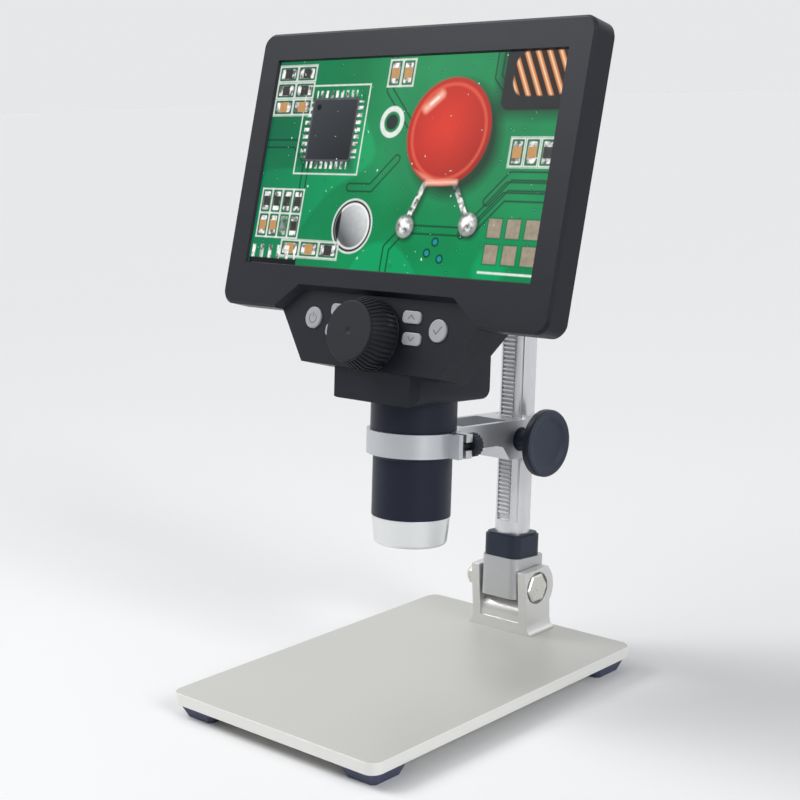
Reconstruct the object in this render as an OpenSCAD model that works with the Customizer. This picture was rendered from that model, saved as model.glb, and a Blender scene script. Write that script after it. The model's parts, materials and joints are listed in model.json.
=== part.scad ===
// Digital microscope with its own screen, on a tilting rack-and-pinion stand.
// Origin: centre of the stage's top face. +X right, +Y to the rear, +Z up. Millimetres.

/* [Stage] */
// Width of the stage plate, left to right
plate_w = 116; // [105:1:150]
// Depth of the stage plate, front to back
plate_d = 162; // [145:1:200]
// Thickness of the stage plate
plate_t = 5; // [4.5:0.5:8]
// Radius of the plate's corners
plate_r = 5; // [4:1:12]
// Height of a rubber foot
foot_h = 6; // [5:0.5:10]
// Width of a foot where it meets the plate
foot_top_w = 20.5; // [18:0.5:24]
// Width of a foot where it meets the table
foot_base_w = 15; // [13:0.5:18]
// Distance from the plate's edges to a foot
foot_inset = 1.5; // [1:0.5:5]

/* [Yoke and tilt hinge] */
// Distance from the plate's rear edge to the tilt hinge
hinge_setback = 11.9; // [10:0.1:20]
// Height of the tilt hinge above the stage
hinge_h = 20.2; // [19:0.2:30]
// Depth of the yoke
yoke_d = 17; // [15:0.5:20]
// Thickness of one ear of the yoke
ear_t = 4.4; // [4:0.1:6]
// How far the ears rise above the hinge
ear_rise = 8.3; // [8:0.1:9]
// Radius of the round lobe at the back of an ear
lobe_r = 11.4; // [10:0.1:12]
// How far the yoke's foot spreads beyond each ear
flare_w = 2.2; // [1:0.1:4]
// Diameter of the hinge bolt
hinge_bolt_d = 6; // [5:0.5:7]
// Diameter of the bolt head's recess in the right ear
recess_d = 14.4; // [14:0.1:15]
// Depth of that recess
recess_depth = 2.6; // [2:0.1:3]

/* [Mast] */
// Backward lean of the mast, in degrees
mast_lean = 5; // [0:0.5:8]
// Width of the tilting block
block_w = 20.8; // [20:0.2:24]
// Distance from the mast's axis to the tilting block's front
block_front_d = 9.6; // [9.3:0.1:10]
// Distance from the mast's axis to the tilting block's back
block_back_d = 11.8; // [9.6:0.1:12.4]
// Height of the tilting block above the hinge
block_rise = 13; // [12.5:0.5:18]
// Depth of the tilting block below the hinge
block_drop = 5.2; // [4.8:0.2:6.4]
// Width of the square collar round the column's foot
collar_w = 19.4; // [18.6:0.2:20]
// Height of that collar
collar_h = 10.5; // [8:0.5:14]
// Diameter of the column
column_d = 15.6; // [15:0.2:16.4]
// Height of the column's top above the hinge
column_top = 190; // [180:1:230]
// Width of the rack's teeth
rack_w = 6; // [5:0.5:8]
// Module of the rack and its pinion
rack_module = 0.6; // [0.5:0.05:0.65]
// Number of teeth on the height pinion
pinion_teeth = 14; // [13:1:15]

/* [Carriage] */
// Height of the height knob's shaft above the hinge
carriage_h = 67.7; // [62:0.1:90]
// Height of the carriage's block
carriage_block_h = 17; // [16:0.5:20]
// Width of the arm and its block
arm_w = 23; // [22:0.5:26]
// Distance from the column's axis to the barrel's axis
reach = 68; // [64:1:80]
// Distance from the column's axis to the block's front
block_front = 17.5; // [17:0.5:20]
// Distance from the column's axis to the block's back
block_back = 12; // [11.5:0.5:16]
// Wall of the sliding liner round the column
liner_t = 1.5; // [1:0.1:1.8]
// Diameter of the height knob
knob_d = 29.2; // [24:0.2:34]
// Thickness of the height knob's disc
knob_t = 5; // [4.5:0.5:7]
// Distance from the mast's middle to the back of the knob's disc
knob_x = 22.6; // [22.2:0.2:34]
// Diameter of the height knob's shaft
shaft_d = 5; // [4:0.5:5.5]

/* [Clamp ring] */
// Height of the clamp ring
ring_h = 10; // [9:0.5:13]
// Thickness of the clamp ring's band
ring_t = 1.8; // [1.5:0.1:2.5]
// Height of the ring's middle above the height knob's shaft
ring_rise = 3.5; // [2:0.5:4]
// Distance from the barrel's axis to the clamp screw
clamp_x = 22.6; // [22:0.2:25]
// Diameter of the clamp screw
clamp_screw_d = 3; // [2.5:0.5:4]
// Diameter of the clamp screw's knob
clamp_knob_d = 10; // [9:0.5:12]

/* [Barrel] */
// Diameter of the barrel below the clamp ring
barrel_d = 33.2; // [32:0.2:34.4]
// Diameter of the barrel in the clamp ring
seat_d = 35.2; // [35:0.1:35.8]
// Diameter of the barrel above the clamp ring
upper_d = 36; // [36:0.2:38]
// Length of the barrel below the clamp ring
barrel_drop = 26.2; // [24:0.2:32]
// Length of the barrel above the clamp ring
barrel_rise = 12.9; // [10:0.1:16]
// Height of the bright tip
tip_h = 12; // [10.8:0.2:15]
// Diameter of the tip's lower end
tip_d = 30.8; // [29:0.2:32]
// Diameter of the sliding lens tube
tube_d = 22; // [21:0.2:23]
// Wall of the sliding lens tube
tube_t = 2; // [1.6:0.1:2.4]

/* [Neck] */
// Width of the neck below the control panel
neck_w = 48; // [46:1:54]
// How far the neck stands in front of the barrel
neck_over_front = 8; // [7:0.5:9]
// How far the neck stands behind the barrel
neck_over_back = 1.6; // [1.6:0.2:5]
// Height of the neck's back wall
neck_back_h = 24; // [23.5:0.5:28]
// Chamfer of the neck's front corners
neck_chamfer = 3; // [2:0.5:4]

/* [Screen head] */
// Backward lean of the screen against the barrel, in degrees
screen_rake = 11.4; // [10:0.2:12.4]
// Distance from the barrel's axis forward to the screen's middle
screen_fwd = 15; // [14.5:0.1:15.6]
// Height of the screen's middle above the clamp ring's middle
screen_h = 113.1; // [112.6:0.1:114]
// Width of the picture
active_w = 154.2; // [150:0.2:160]
// Height of the picture
active_h = 85.9; // [84:0.1:90]
// Frame beside the picture
bezel_side = 12.4; // [12:0.2:18]
// Frame above the picture
bezel_top = 13.1; // [12:0.1:18]
// Frame below the picture
bezel_bottom = 19.4; // [19:0.1:21]
// Radius of the head's corners
head_r = 6; // [4:0.5:9]
// How far the frame stands in front of the picture
bezel_proud = 1.4; // [1:0.1:2]
// Depth from the picture to the seam between the two shells
seam_depth = 9.8; // [9.6:0.1:12]
// Depth from the picture to the back of the rear shell
back_depth = 20.3; // [20:0.1:24]
// Wall of the shells
wall = 2; // [1.6:0.1:2.2]

/* [Control panel] */
// Depth of the control panel behind the picture
panel_depth = 2.6; // [2:0.1:3.5]
// Half width of the panel's top edge
panel_top_half = 42; // [40:0.5:46]
// Half width of the panel at its side corners
panel_side_half = 54; // [52:0.5:58]
// Half width of the panel's bottom edge
panel_bottom_half = 38; // [36:0.5:41]
// How far the panel rises above the head's bottom edge
panel_rise = 9.1; // [9:0.1:9.6]
// How far the panel drops below the head's bottom edge
panel_fall = 20.6; // [20:0.1:24]
// Distance from the head's bottom edge down to the focus dial's axis
dial_fall = 6.9; // [6.6:0.1:7.1]
// Diameter of the focus dial's flat face
dial_face_d = 24.2; // [23:0.2:25]
// Diameter of the focus dial at its foot, where its ribs are widest
dial_d = 29.4; // [28:0.2:30]
// How far the focus dial's face stands in front of the picture
dial_proud = 11.4; // [9:0.2:14]
// Number of ribs round the focus dial
dial_ribs = 44; // [30:1:50]
// Diameter of the two round buttons
round_button_d = 9; // [8.4:0.2:10]
// Width of the four oblong buttons
oblong_button_w = 9.6; // [9:0.2:10.4]
// Height of the four oblong buttons
oblong_button_h = 5; // [4.6:0.2:5.6]
// Travel of every button
button_travel = 0.6; // [0.4:0.1:0.8]
// Module of the focusing pinion and its rack
focus_module = 0.5; // [0.4:0.05:0.5]
// Number of teeth on the focusing pinion
focus_teeth = 12; // [12:1:13]
// Travel of the lens tube to each side of its middle
focus_travel = 5; // [3:0.5:5]

/* [Hidden] */
$fn = 64;

// Clearances
run_gap = 0.05;     // radial gap of a shaft that turns or slides in its bore
fit_gap = 0.02;     // radial gap of pieces that are pressed or screwed together
seat_gap = 0.05;    // gap between faces that lie on each other
side_gap = 0.3;     // gap beside a piece that moves
tooth_play = 0.12;  // thinning of the teeth that mesh
cut = 1;            // how far a cutting shape runs past the face it cuts

// Stage and feet
foot_x = plate_w / 2 - foot_inset - foot_top_w / 2;
foot_y = plate_d / 2 - foot_inset - foot_top_w / 2;
foot_screw_r = 1.5;
foot_screw_grip = 3;
foot_head_r = 2.8;
foot_head_h = 1.8;
foot_web = 2.5;
corner_cut = 1.27;

// Tilt hinge
hinge_y = plate_d / 2 - hinge_setback;
hinge_r = hinge_bolt_d / 2;
washer_t = 0.6;
ear_in = block_w / 2 + washer_t + 2 * seat_gap;
ear_out = ear_in + ear_t;
yoke_w = 2 * (ear_out + flare_w);
ear_h = hinge_h + ear_rise;
web_r = yoke_d / 2 - 0.6;
web_h = hinge_h - block_drop - 0.8 - web_r;
flare_h = 5;
bolt_head_r = 6.4;
bolt_rim_h = 1;
bolt_dome_h = 2.2;
nut_r = 5.6;
nut_h = 5;
dome_r = 4.6;
yoke_screw_r = 2;
yoke_screw_x = 6.5;
yoke_screw_grip = 8;

// Mast
column_r = column_d / 2;
socket_z = hinge_r + 2;
block_r = 4;
cap_h = 3;
grub_r = 2;
grub_z = block_rise - 4.2;
rack_start = block_rise + collar_h + 6;
rack_end = column_top - 4;
rack_angle = 20;
rack_pitch = PI * rack_module;
rack_tip = sqrt(pow(column_r, 2) - pow(rack_w / 2, 2));
rack_line = rack_tip - 0.7 * rack_module;
rack_root = rack_line - 1.25 * rack_module;
rack_bed = rack_root - 0.5;
rack_groove = 0.6;
groove_size = 0.7;
groove_angles = [52, 112, -52, -112];

// Height drive
pinion_r = pinion_teeth * rack_module / 2;
pinion_tip = pinion_r + rack_module;
pinion_root = pinion_r - 1.25 * rack_module;
pinion_y = -(rack_line + pinion_r);
pinion_gap = 0.5;
shaft_r = shaft_d / 2;
bush_r = pinion_tip + pinion_gap;
bush_neck_r = 3.9;
bush_end = knob_x - 6.4;
pinion_half = rack_w / 2;
knob_hub_r = 3.9;
knob_edge = 1.2;
knob_dish = 1.4;
knob_hub_x = bush_end + 0.4;
shaft_in_knob = 2;
knob_screw_x = (knob_hub_x + knob_x) / 2;
knob_screw_r = 1.5;

// Clamp ring, in the barrel's frame
seat_r = seat_d / 2;
ring_r = seat_r + run_gap + ring_t;
clamp_edge = clamp_x + 2.7;
clamp_front_t = 2.4;
clamp_skin = 0.8;
clamp_slit = 2;
clamp_rear_t = 3.8;
clamp_slit_y = clamp_front_t;
clamp_rear_y = clamp_slit_y + clamp_slit;
clamp_head_y = clamp_rear_y + clamp_rear_t + 0.2;
clamp_head_t = 5;
clamp_r = clamp_screw_d / 2;
arm_wall = 2.5;
arm_floor = 3;
pocket_front = reach - ring_r - 1;

// Barrel, along its own axis from the ring's middle
barrel_r = barrel_d / 2;
upper_r = upper_d / 2;
barrel_low = -(ring_h / 2 + barrel_drop);
barrel_step = -(ring_h / 2 + 0.4);
neck_z = ring_h / 2 + barrel_rise;
neck_front = upper_r + neck_over_front;
neck_back = upper_r + neck_over_back;
tip_low = barrel_low - tip_h;
barrel_bore = 14.4;
land_r = tube_d / 2 + run_gap;
land_h = 5;
neck_wall = 2.2;
nut_ring_h = 3;
nut_ring_r = upper_r + 1.3 - neck_wall;
thread_r = nut_ring_r - 1.6;
barrel_top = neck_z + neck_wall + nut_ring_h + 0.2;
tip_bore = 12.9;
tip_round = 1.8;
led_seat_r = 12.1;
lip_r = 11.2;
lip_h = 1.8;
led_board_z = tip_low + 5.8;
led_board_t = 1.2;
led_count = 8;
led_ring_r = 9.6;

// Screen head, in the screen's frame: x right, y up, z out of the screen
head_w = active_w + 2 * bezel_side;
head_top = active_h / 2 + bezel_top;
head_bottom = -(active_h / 2 + bezel_bottom);
head_mid = (head_top + head_bottom) / 2;
head_h = head_top - head_bottom;
panel_top = head_bottom + panel_rise;
panel_bottom = head_bottom - panel_fall;
panel_back = -panel_depth - wall;
dial_v = head_bottom - dial_fall;
dial_flare = 6.8;
dial_rib_h = 0.6;
dial_rib_t = 0.95;
button_gap = 0.25;
edge_chamfer = 1.2;
glass_t = 2.2;
module_w = active_w + 8.8;
module_h = active_h + 12.6;
light_t = 3.4;
light_back = -glass_t - light_t - seat_gap;
cover_t = 1.6;
cover_inset = 1;

panel_outline = [
    [panel_top_half, panel_top], [panel_side_half, head_bottom], [panel_bottom_half, panel_bottom],
    [-panel_bottom_half, panel_bottom], [-panel_side_half, head_bottom], [-panel_top_half, panel_top]
];
// The rear shell's sides carry on the slope of the panel's lower sides
slope = (panel_side_half - panel_bottom_half) / panel_fall;
hump_side = panel_bottom_half + slope * 46;
hump_outline = [
    [hump_side - 9, 47], [hump_side, 38], [hump_side, panel_bottom + 46],
    [panel_bottom_half, panel_bottom], [-panel_bottom_half, panel_bottom],
    [-hump_side, panel_bottom + 46], [-hump_side, 38], [-hump_side + 9, 47]
];

// Focusing drive
focus_r = focus_teeth * focus_module / 2;
focus_tip = focus_r + focus_module;
focus_root = focus_r - 1.25 * focus_module;
focus_angle = 25;
focus_pitch = PI * focus_module;
focus_pinion_front = -12.4;
focus_pinion_back = -18.6;
dial_shaft_r = 2;
dial_boss_r = 5;
dial_boss_end = focus_pinion_front + 1.6;
focus_rack_t = 4;
bracket_t = 3;
bracket_d = 5.2;
focus_rack_half = focus_travel + focus_tip + 1.2;
tube_r = tube_d / 2;
tube_low = barrel_low + 1.4;
tube_high = barrel_top + 8.4;
front_lens_z = tube_low + 2.8;
front_lens_rim = 2;
rear_lens_z = tube_low + 14;
lens_sag = 0.5;

// Electronics
board_t = 1.6;
board_front = light_back - 1.9;
board_back = board_front - board_t;
board_left = -head_w / 2 + 3.6;
board_right = 68;
board_high = 36;
board_low = -40;
door_w = 96;
door_h = 50;
door_v = -4;
door_r = 3;
battery_t = 6;
button_front = -panel_depth + 0.8;
button_board_front = panel_back - 2.8;
button_board_t = 1.2;
switch_h = button_board_front * -1 + panel_back - 0.6 - button_travel - 0.2;

screw_r = 1.1;
screw_head_r = 2;
screw_head_h = 1.3;
post_r = 2.6;
shell_screw_places = [
    [head_w / 2 - 4.6, head_top - 4.8], [-head_w / 2 + 4.6, head_top - 4.8],
    [head_w / 2 - 4.6, head_bottom + 5.4], [-head_w / 2 + 4.6, head_bottom + 5.4],
    [panel_bottom_half - 6, panel_bottom + 4.8], [-panel_bottom_half + 6, panel_bottom + 4.8]
];
board_screw_places = [[60, 30], [-60, 30], [60, -34], [-60, -34]];
button_screw_places = [[panel_side_half - 8, head_bottom + 1], [-panel_side_half + 8, head_bottom + 1]];
neck_screw_u = neck_w / 2 - neck_wall - 2.4;
neck_screw_w = -14;
neck_post_h = 7.5;
neck_screw_grip = 5;
sensor_z = tube_high + focus_travel + 1.6;
sensor_screw_x = tube_r + 3;
sensor_edge = 3;
sensor_front = -8;
sensor_d = 20;
chip_w = 8;
chip_t = 1.2;

// ---- helpers -------------------------------------------------------------

// A closed outline moved inwards by d; its points run clockwise
function unit(p) = p / norm(p);
function inward(a, b) = let (e = unit(b - a)) [e[1], -e[0]];
function inset(pts, d) = [
    for (i = [0:len(pts) - 1])
        let (n = len(pts), a = inward(pts[(i + n - 1) % n], pts[i]), b = inward(pts[i], pts[(i + 1) % n]))
            pts[i] + d * (a + b) / (1 + a * b)
];

// Involute function of an angle in degrees, as an angle in degrees
function involute(a) = tan(a) * 180 / PI - a;
function pressure_at(r, base) = r > base ? acos(base / r) : 0;

// Outline of a pinion with one tooth pointing along +X
function pinion_points(teeth, m, angle, tip, root) =
    let (
        r0 = teeth * m / 2,
        base = r0 * cos(angle),
        half = 90 / teeth - tooth_play / 2 / r0 * 180 / PI + involute(angle),
        radii = [root, base, (base + r0) / 2, r0, (r0 + tip) / 2, tip],
        spread = [for (r = radii) half - involute(pressure_at(r, base))],
        n = len(radii)
    )
    [
        for (t = [0:teeth - 1], k = [0:2 * n - 1])
            let (i = k < n ? k : 2 * n - 1 - k, a = t * 360 / teeth + (k < n ? -1 : 1) * spread[i])
                radii[i] * [cos(a), sin(a)]
    ];

// Outline of a rack along Y with its teeth towards -X, from y0 to y1; a space lies at y = 0
function rack_points(m, angle, line, tip, root, back, y0, y1) =
    let (
        p = PI * m,
        first = ceil((y0 + p * 0.5) / p),
        last = floor((y1 - p * 0.5) / p) - 1,
        half = p / 4 - tooth_play / 2,
        at_tip = half - (tip - line) * tan(angle),
        at_root = half + (line - root) * tan(angle)
    )
    concat(
        [[-back, y1], [-back, y0], [-root, y0]],
        [
            for (k = [first:last], q = [[root, -at_root], [tip, -at_tip], [tip, at_tip], [root, at_root]])
                [-q[0], (k + 0.5) * p + q[1]]
        ],
        [[-root, y1]]
    );

// A point of the screen's frame as [y, z] of the barrel's frame
function on_screen(v, w) = [
    -(screen_fwd + w * cos(screen_rake) - v * sin(screen_rake)),
    screen_h + v * cos(screen_rake) + w * sin(screen_rake)
];

module rounded_rect(w, h, r) {
    square([w - 2 * r, h], center = true);
    square([w, h - 2 * r], center = true);
    for (x = [-1, 1], y = [-1, 1])
        translate([x * (w / 2 - r), y * (h / 2 - r)]) circle(r = r);
}

// Draws its children's X along Y and Y along Z, and extrudes them along X
module across(length) rotate([90, 0, 90]) linear_extrude(length, center = true) children();

module along_x() rotate([0, 90, 0]) children();

// A pan-head screw along +Z with its head's seat at z = 0 and its shank below
module pan_screw(r, length, head_r, head_h) {
    difference() {
        union() {
            cylinder(h = head_h, r = head_r);
            translate([0, 0, -length]) cylinder(h = length + head_h / 2, r = r);
        }
        translate([0, 0, head_h / 2]) {
            cube([head_r * 1.3, r * 0.5, head_h + cut], center = true);
            cube([r * 0.5, head_r * 1.3, head_h + cut], center = true);
        }
    }
}

module mast_frame() translate([0, hinge_y, hinge_h]) rotate([-mast_lean, 0, 0]) children();
module carriage_frame() mast_frame() translate([0, 0, carriage_h]) children();
module barrel_frame() carriage_frame() translate([0, -reach, ring_rise]) children();
module screen_frame()
    barrel_frame() translate([0, -screen_fwd, screen_h]) rotate([90 - screen_rake, 0, 0]) children();

module at_feet()
    for (x = [-1, 1], y = [-1, 1]) translate([x * foot_x, y * foot_y, -plate_t]) children();

// ---- stage -----------------------------------------------------------------

module base_plate() {
    color("lightgray") difference() {
        translate([0, 0, -plate_t]) linear_extrude(plate_t) rounded_rect(plate_w, plate_d, plate_r);
        at_feet() translate([0, 0, -cut])
            cylinder(h = foot_screw_grip + cut + 0.4, r = foot_screw_r + fit_gap);
        for (x = [-1, 1]) translate([x * yoke_screw_x, hinge_y, -plate_t - cut]) {
            cylinder(h = plate_t + 2 * cut, r = yoke_screw_r + fit_gap);
            cylinder(h = cut + 2.4, r = yoke_screw_r + 2.1);
        }
    }
}

// A block whose width narrows from top to base over height h, extruded along Y
module tapered_bar(top, base, h, length)
    rotate([90, 0, 0]) linear_extrude(length, center = true)
        polygon([[-base / 2, -h], [base / 2, -h], [top / 2, 0], [-top / 2, 0]]);

module rubber_feet() {
    color("#3c4250") at_feet() difference() {
        intersection() {
            tapered_bar(foot_top_w, foot_base_w, foot_h, 2 * foot_top_w);
            rotate([0, 0, 90]) tapered_bar(foot_top_w, foot_base_w, foot_h, 2 * foot_top_w);
            rotate([0, 0, 45])
                tapered_bar(foot_top_w * corner_cut, foot_base_w * corner_cut, foot_h, 2 * foot_top_w);
            rotate([0, 0, -45])
                tapered_bar(foot_top_w * corner_cut, foot_base_w * corner_cut, foot_h, 2 * foot_top_w);
        }
        translate([0, 0, -foot_h - cut]) {
            cylinder(h = foot_h + 2 * cut, r = foot_screw_r + fit_gap);
            cylinder(h = foot_h - foot_web + cut, r = foot_head_r + 0.3);
        }
    }
}

module foot_screws() {
    color("gray") at_feet() translate([0, 0, -foot_web - seat_gap]) rotate([180, 0, 0])
        pan_screw(foot_screw_r, foot_web + foot_screw_grip, foot_head_r, foot_head_h);
}

// ---- yoke and tilt hinge ------------------------------------------------------

module yoke_foot_outline() {
    steps = [0:18:90];
    right = [for (a = steps) [ear_out + flare_w * (1 - sin(a)), 1 + (flare_h - 1) * (1 - cos(a))]];
    polygon(concat(
        [[ear_out + flare_w, 0]], right, [for (i = [len(right) - 1:-1:0]) [-right[i][0], right[i][1]]],
        [[-ear_out - flare_w, 0]]
    ));
}

module ear_outline() {
    intersection() {
        union() {
            translate([-yoke_d / 2, 0]) square([yoke_d, ear_h]);
            translate([0, hinge_h]) circle(r = lobe_r);
        }
        translate([-yoke_d / 2, 0]) square([2 * yoke_d, ear_h]);
    }
}

module stand_yoke() {
    color("silver") translate([0, hinge_y, 0]) difference() {
        union() {
            rotate([90, 0, 0]) linear_extrude(yoke_d, center = true) intersection() {
                yoke_foot_outline();
                translate([-yoke_w, 0]) square([2 * yoke_w, web_h]);
            }
            for (x = [-1, 1]) translate([x * (ear_in + ear_out) / 2, 0, 0]) across(ear_t) ear_outline();
            translate([0, 0, web_h]) along_x() cylinder(h = 2 * ear_in + ear_t, r = web_r, center = true);
        }
        translate([0, 0, hinge_h]) along_x() {
            cylinder(h = 2 * yoke_w, r = hinge_r + fit_gap, center = true);
            translate([0, 0, ear_out - recess_depth]) cylinder(h = recess_depth + cut, r = recess_d / 2);
        }
        for (x = [-1, 1]) translate([x * yoke_screw_x, 0, -cut])
            cylinder(h = yoke_screw_grip + cut + 0.4, r = yoke_screw_r + fit_gap);
        translate([-yoke_w, -yoke_d, -2 * web_r]) cube([2 * yoke_w, 2 * yoke_d, 2 * web_r]);
    }
}

module yoke_screws() {
    color("gray") for (x = [-1, 1]) translate([x * yoke_screw_x, hinge_y, -plate_t + 2.4 - seat_gap])
        rotate([180, 0, 0])
            pan_screw(yoke_screw_r, plate_t - 2.4 + yoke_screw_grip, yoke_screw_r + 1.7, 2);
}

module hinge_bolt() {
    big = (pow(bolt_head_r, 2) + pow(bolt_dome_h, 2)) / (2 * bolt_dome_h);
    color("darkgray") translate([0, hinge_y, hinge_h]) along_x() {
        translate([0, 0, -ear_out - nut_h])
            cylinder(h = 2 * ear_out + nut_h - recess_depth + bolt_rim_h, r = hinge_r);
        translate([0, 0, ear_out - recess_depth + seat_gap]) rotate_extrude() polygon(concat(
            [[0, 0], [bolt_head_r, 0]],
            [for (i = [8:-1:0]) [bolt_head_r * i / 8, bolt_rim_h + bolt_dome_h - big
                + sqrt(big * big - pow(bolt_head_r * i / 8, 2))]]
        ));
    }
}

module hinge_nut() {
    color("silver") translate([0, hinge_y, hinge_h]) along_x() difference() {
        union() {
            translate([0, 0, -ear_out - seat_gap - nut_h]) cylinder(h = nut_h, r = nut_r, $fn = 6);
            intersection() {
                translate([0, 0, -ear_out - seat_gap - nut_h + 0.9]) sphere(r = dome_r);
                translate([0, 0, -ear_out - seat_gap - nut_h - dome_r]) cylinder(h = dome_r + 1, r = 2 * dome_r);
            }
        }
        translate([0, 0, -ear_out - nut_h - seat_gap]) cylinder(h = nut_h + cut, r = hinge_r + fit_gap);
    }
}

module hinge_washers() {
    color("white") translate([0, hinge_y, hinge_h]) for (x = [-1, 1])
        translate([x * (block_w / 2 + seat_gap + washer_t / 2), 0, 0]) along_x() difference() {
            cylinder(h = washer_t, r = hinge_r + 2.2, center = true);
            cylinder(h = washer_t + cut, r = hinge_r + fit_gap, center = true);
        }
}

// ---- mast ------------------------------------------------------------------------

module tilt_block() {
    color("silver") mast_frame() difference() {
        translate([0, (block_back_d - block_front_d) / 2, -block_drop])
            linear_extrude(block_drop + block_rise)
                rounded_rect(block_w, block_front_d + block_back_d, block_r);
        along_x() cylinder(h = block_w + 2 * cut, r = hinge_r + run_gap, center = true);
        translate([0, 0, socket_z]) cylinder(h = block_rise, r = column_r + fit_gap);
        translate([0, 0, grub_z]) rotate([-90, 0, 0]) cylinder(h = 2 * block_back_d, r = grub_r + fit_gap);
    }
}

module column_screw() {
    color("#30343c") mast_frame() translate([0, column_r + seat_gap, grub_z]) rotate([-90, 0, 0])
        difference() {
            cylinder(h = block_back_d - column_r - 0.2, r = grub_r);
            translate([0, 0, block_back_d - column_r - 2.2]) cylinder(h = block_back_d, r = 1.1, $fn = 6);
        }
}

module mast_collar() {
    color("#2c303a") mast_frame() translate([0, 0, block_rise + seat_gap]) difference() {
        union() {
            linear_extrude(collar_h - 1) rounded_rect(collar_w, collar_w, block_r + 0.5);
            linear_extrude(collar_h) rounded_rect(collar_w - 1.6, collar_w - 1.6, block_r);
        }
        translate([0, 0, -cut]) cylinder(h = collar_h + 2 * cut, r = column_r + fit_gap);
    }
}

module mast_column() {
    color("silver") mast_frame() difference() {
        union() {
            difference() {
                translate([0, 0, socket_z]) cylinder(h = column_top - socket_z, r = column_r);
                translate([-rack_w / 2 - rack_groove, -column_r - cut, rack_start])
                    cube([rack_w + 2 * rack_groove, column_r + cut - rack_bed, rack_end - rack_start]);
            }
            translate([0, 0, carriage_h]) across(rack_w)
                polygon(rack_points(rack_module, rack_angle, rack_line, rack_tip, rack_root, rack_bed - 1,
                    rack_start - carriage_h, rack_end - carriage_h));
        }
        for (a = groove_angles) rotate([0, 0, a])
            translate([0, -column_r, (rack_start + column_top) / 2]) rotate([0, 0, 45])
                cube([groove_size, groove_size, column_top - rack_start + 2 * cut], center = true);
    }
}

module column_cap() {
    color("#2c303a") mast_frame() translate([0, 0, column_top + seat_gap]) rotate_extrude()
        polygon([[0, 0], [column_r, 0], [column_r, cap_h - 1], [column_r - 1, cap_h], [0, cap_h]]);
}

// ---- carriage ----------------------------------------------------------------------

// The arm's underside steps down to the deeper block
module gusset_outline() {
    low = ring_rise - ring_h / 2;
    polygon([[-block_front - 10, low], [-block_front - 5.6, low - 0.9], [-block_front - 0.6, -carriage_block_h / 2],
        [-block_front + 1, -carriage_block_h / 2], [-block_front + 1, low + 1], [-block_front - 10, low + 1]]);
}

module carriage_arm() {
    color("silver") carriage_frame() difference() {
        union() {
            translate([-arm_w / 2, -block_front, -carriage_block_h / 2])
                cube([arm_w, block_front + block_back, carriage_block_h]);
            translate([-arm_w / 2, -reach, ring_rise - ring_h / 2])
                cube([arm_w, reach - block_front + 1, ring_h]);
            across(arm_w) gusset_outline();
            translate([0, -reach, ring_rise]) cylinder(h = ring_h, r = ring_r, center = true);
            translate([seat_r - 2, -reach, ring_rise - ring_h / 2])
                cube([clamp_edge - seat_r + 2, clamp_rear_y + clamp_rear_t, ring_h]);
        }
        // barrel seat, and the slit that lets the band close on it
        translate([0, -reach, ring_rise]) cylinder(h = ring_h + 2 * cut, r = seat_r + run_gap, center = true);
        translate([seat_r - 3, -reach + clamp_slit_y, ring_rise - ring_h])
            cube([clamp_edge, clamp_slit, 2 * ring_h]);
        // blind hole in the front ear, open slot in the rear ear
        translate([clamp_x, -reach + clamp_skin, ring_rise]) rotate([-90, 0, 0])
            cylinder(h = clamp_front_t, r = clamp_r + run_gap);
        translate([clamp_x - clamp_r - 0.2, -reach + clamp_rear_y - cut, ring_rise - clamp_r - 0.2])
            cube([clamp_edge, clamp_rear_t + 2 * cut, 2 * clamp_r + 0.4]);
        // pocket between the arm's two side walls
        translate([-arm_w / 2 + arm_wall, -pocket_front, ring_rise - ring_h / 2 + arm_floor])
            cube([arm_w - 2 * arm_wall, pocket_front - block_front, ring_h]);
        // column, pinion and shaft
        cylinder(h = 2 * carriage_block_h, r = column_r + run_gap + liner_t + fit_gap, center = true);
        translate([-pinion_half - pinion_gap, pinion_y, 0]) along_x()
            cylinder(h = arm_w, r = bush_r + fit_gap);
        translate([-arm_w / 2 + 1.8, pinion_y, 0]) along_x() cylinder(h = arm_w / 2, r = shaft_r + run_gap);
    }
}

module column_liner() {
    color("#f0f0ea") carriage_frame() difference() {
        cylinder(h = carriage_block_h - 0.4, r = column_r + run_gap + liner_t, center = true);
        cylinder(h = carriage_block_h + cut, r = column_r + run_gap, center = true);
        translate([-pinion_half - pinion_gap, pinion_y, 0]) along_x()
            cylinder(h = arm_w, r = bush_r + fit_gap);
        translate([0, pinion_y, 0]) along_x() cylinder(h = arm_w, r = shaft_r + side_gap, center = true);
    }
}

module shaft_bush() {
    color("#2c303a") carriage_frame() translate([0, pinion_y, 0]) along_x() difference() {
        union() {
            translate([0, 0, pinion_half + pinion_gap])
                cylinder(h = arm_w / 2 - pinion_half - pinion_gap, r = bush_r);
            cylinder(h = bush_end, r = bush_neck_r);
        }
        translate([0, 0, -cut]) cylinder(h = bush_end + 2 * cut, r = shaft_r + run_gap);
        translate([0, 0, -cut]) cylinder(h = pinion_half + pinion_gap + cut, r = 2 * bush_r);
        // the liner passes in front of the bush
        rotate([0, -90, 0]) translate([0, -pinion_y, 0])
            cylinder(h = 2 * carriage_block_h, r = column_r + run_gap + liner_t + fit_gap, center = true);
    }
}

module pinion_shaft() {
    color("darkgray") carriage_frame() translate([0, pinion_y, 0]) along_x() {
        translate([0, 0, -arm_w / 2 + 2.2]) cylinder(h = arm_w / 2 - 2.2 + knob_x + shaft_in_knob, r = shaft_r);
        rotate([0, 0, 90]) linear_extrude(2 * pinion_half, center = true)
            polygon(pinion_points(pinion_teeth, rack_module, rack_angle, pinion_tip, pinion_root));
    }
}

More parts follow.
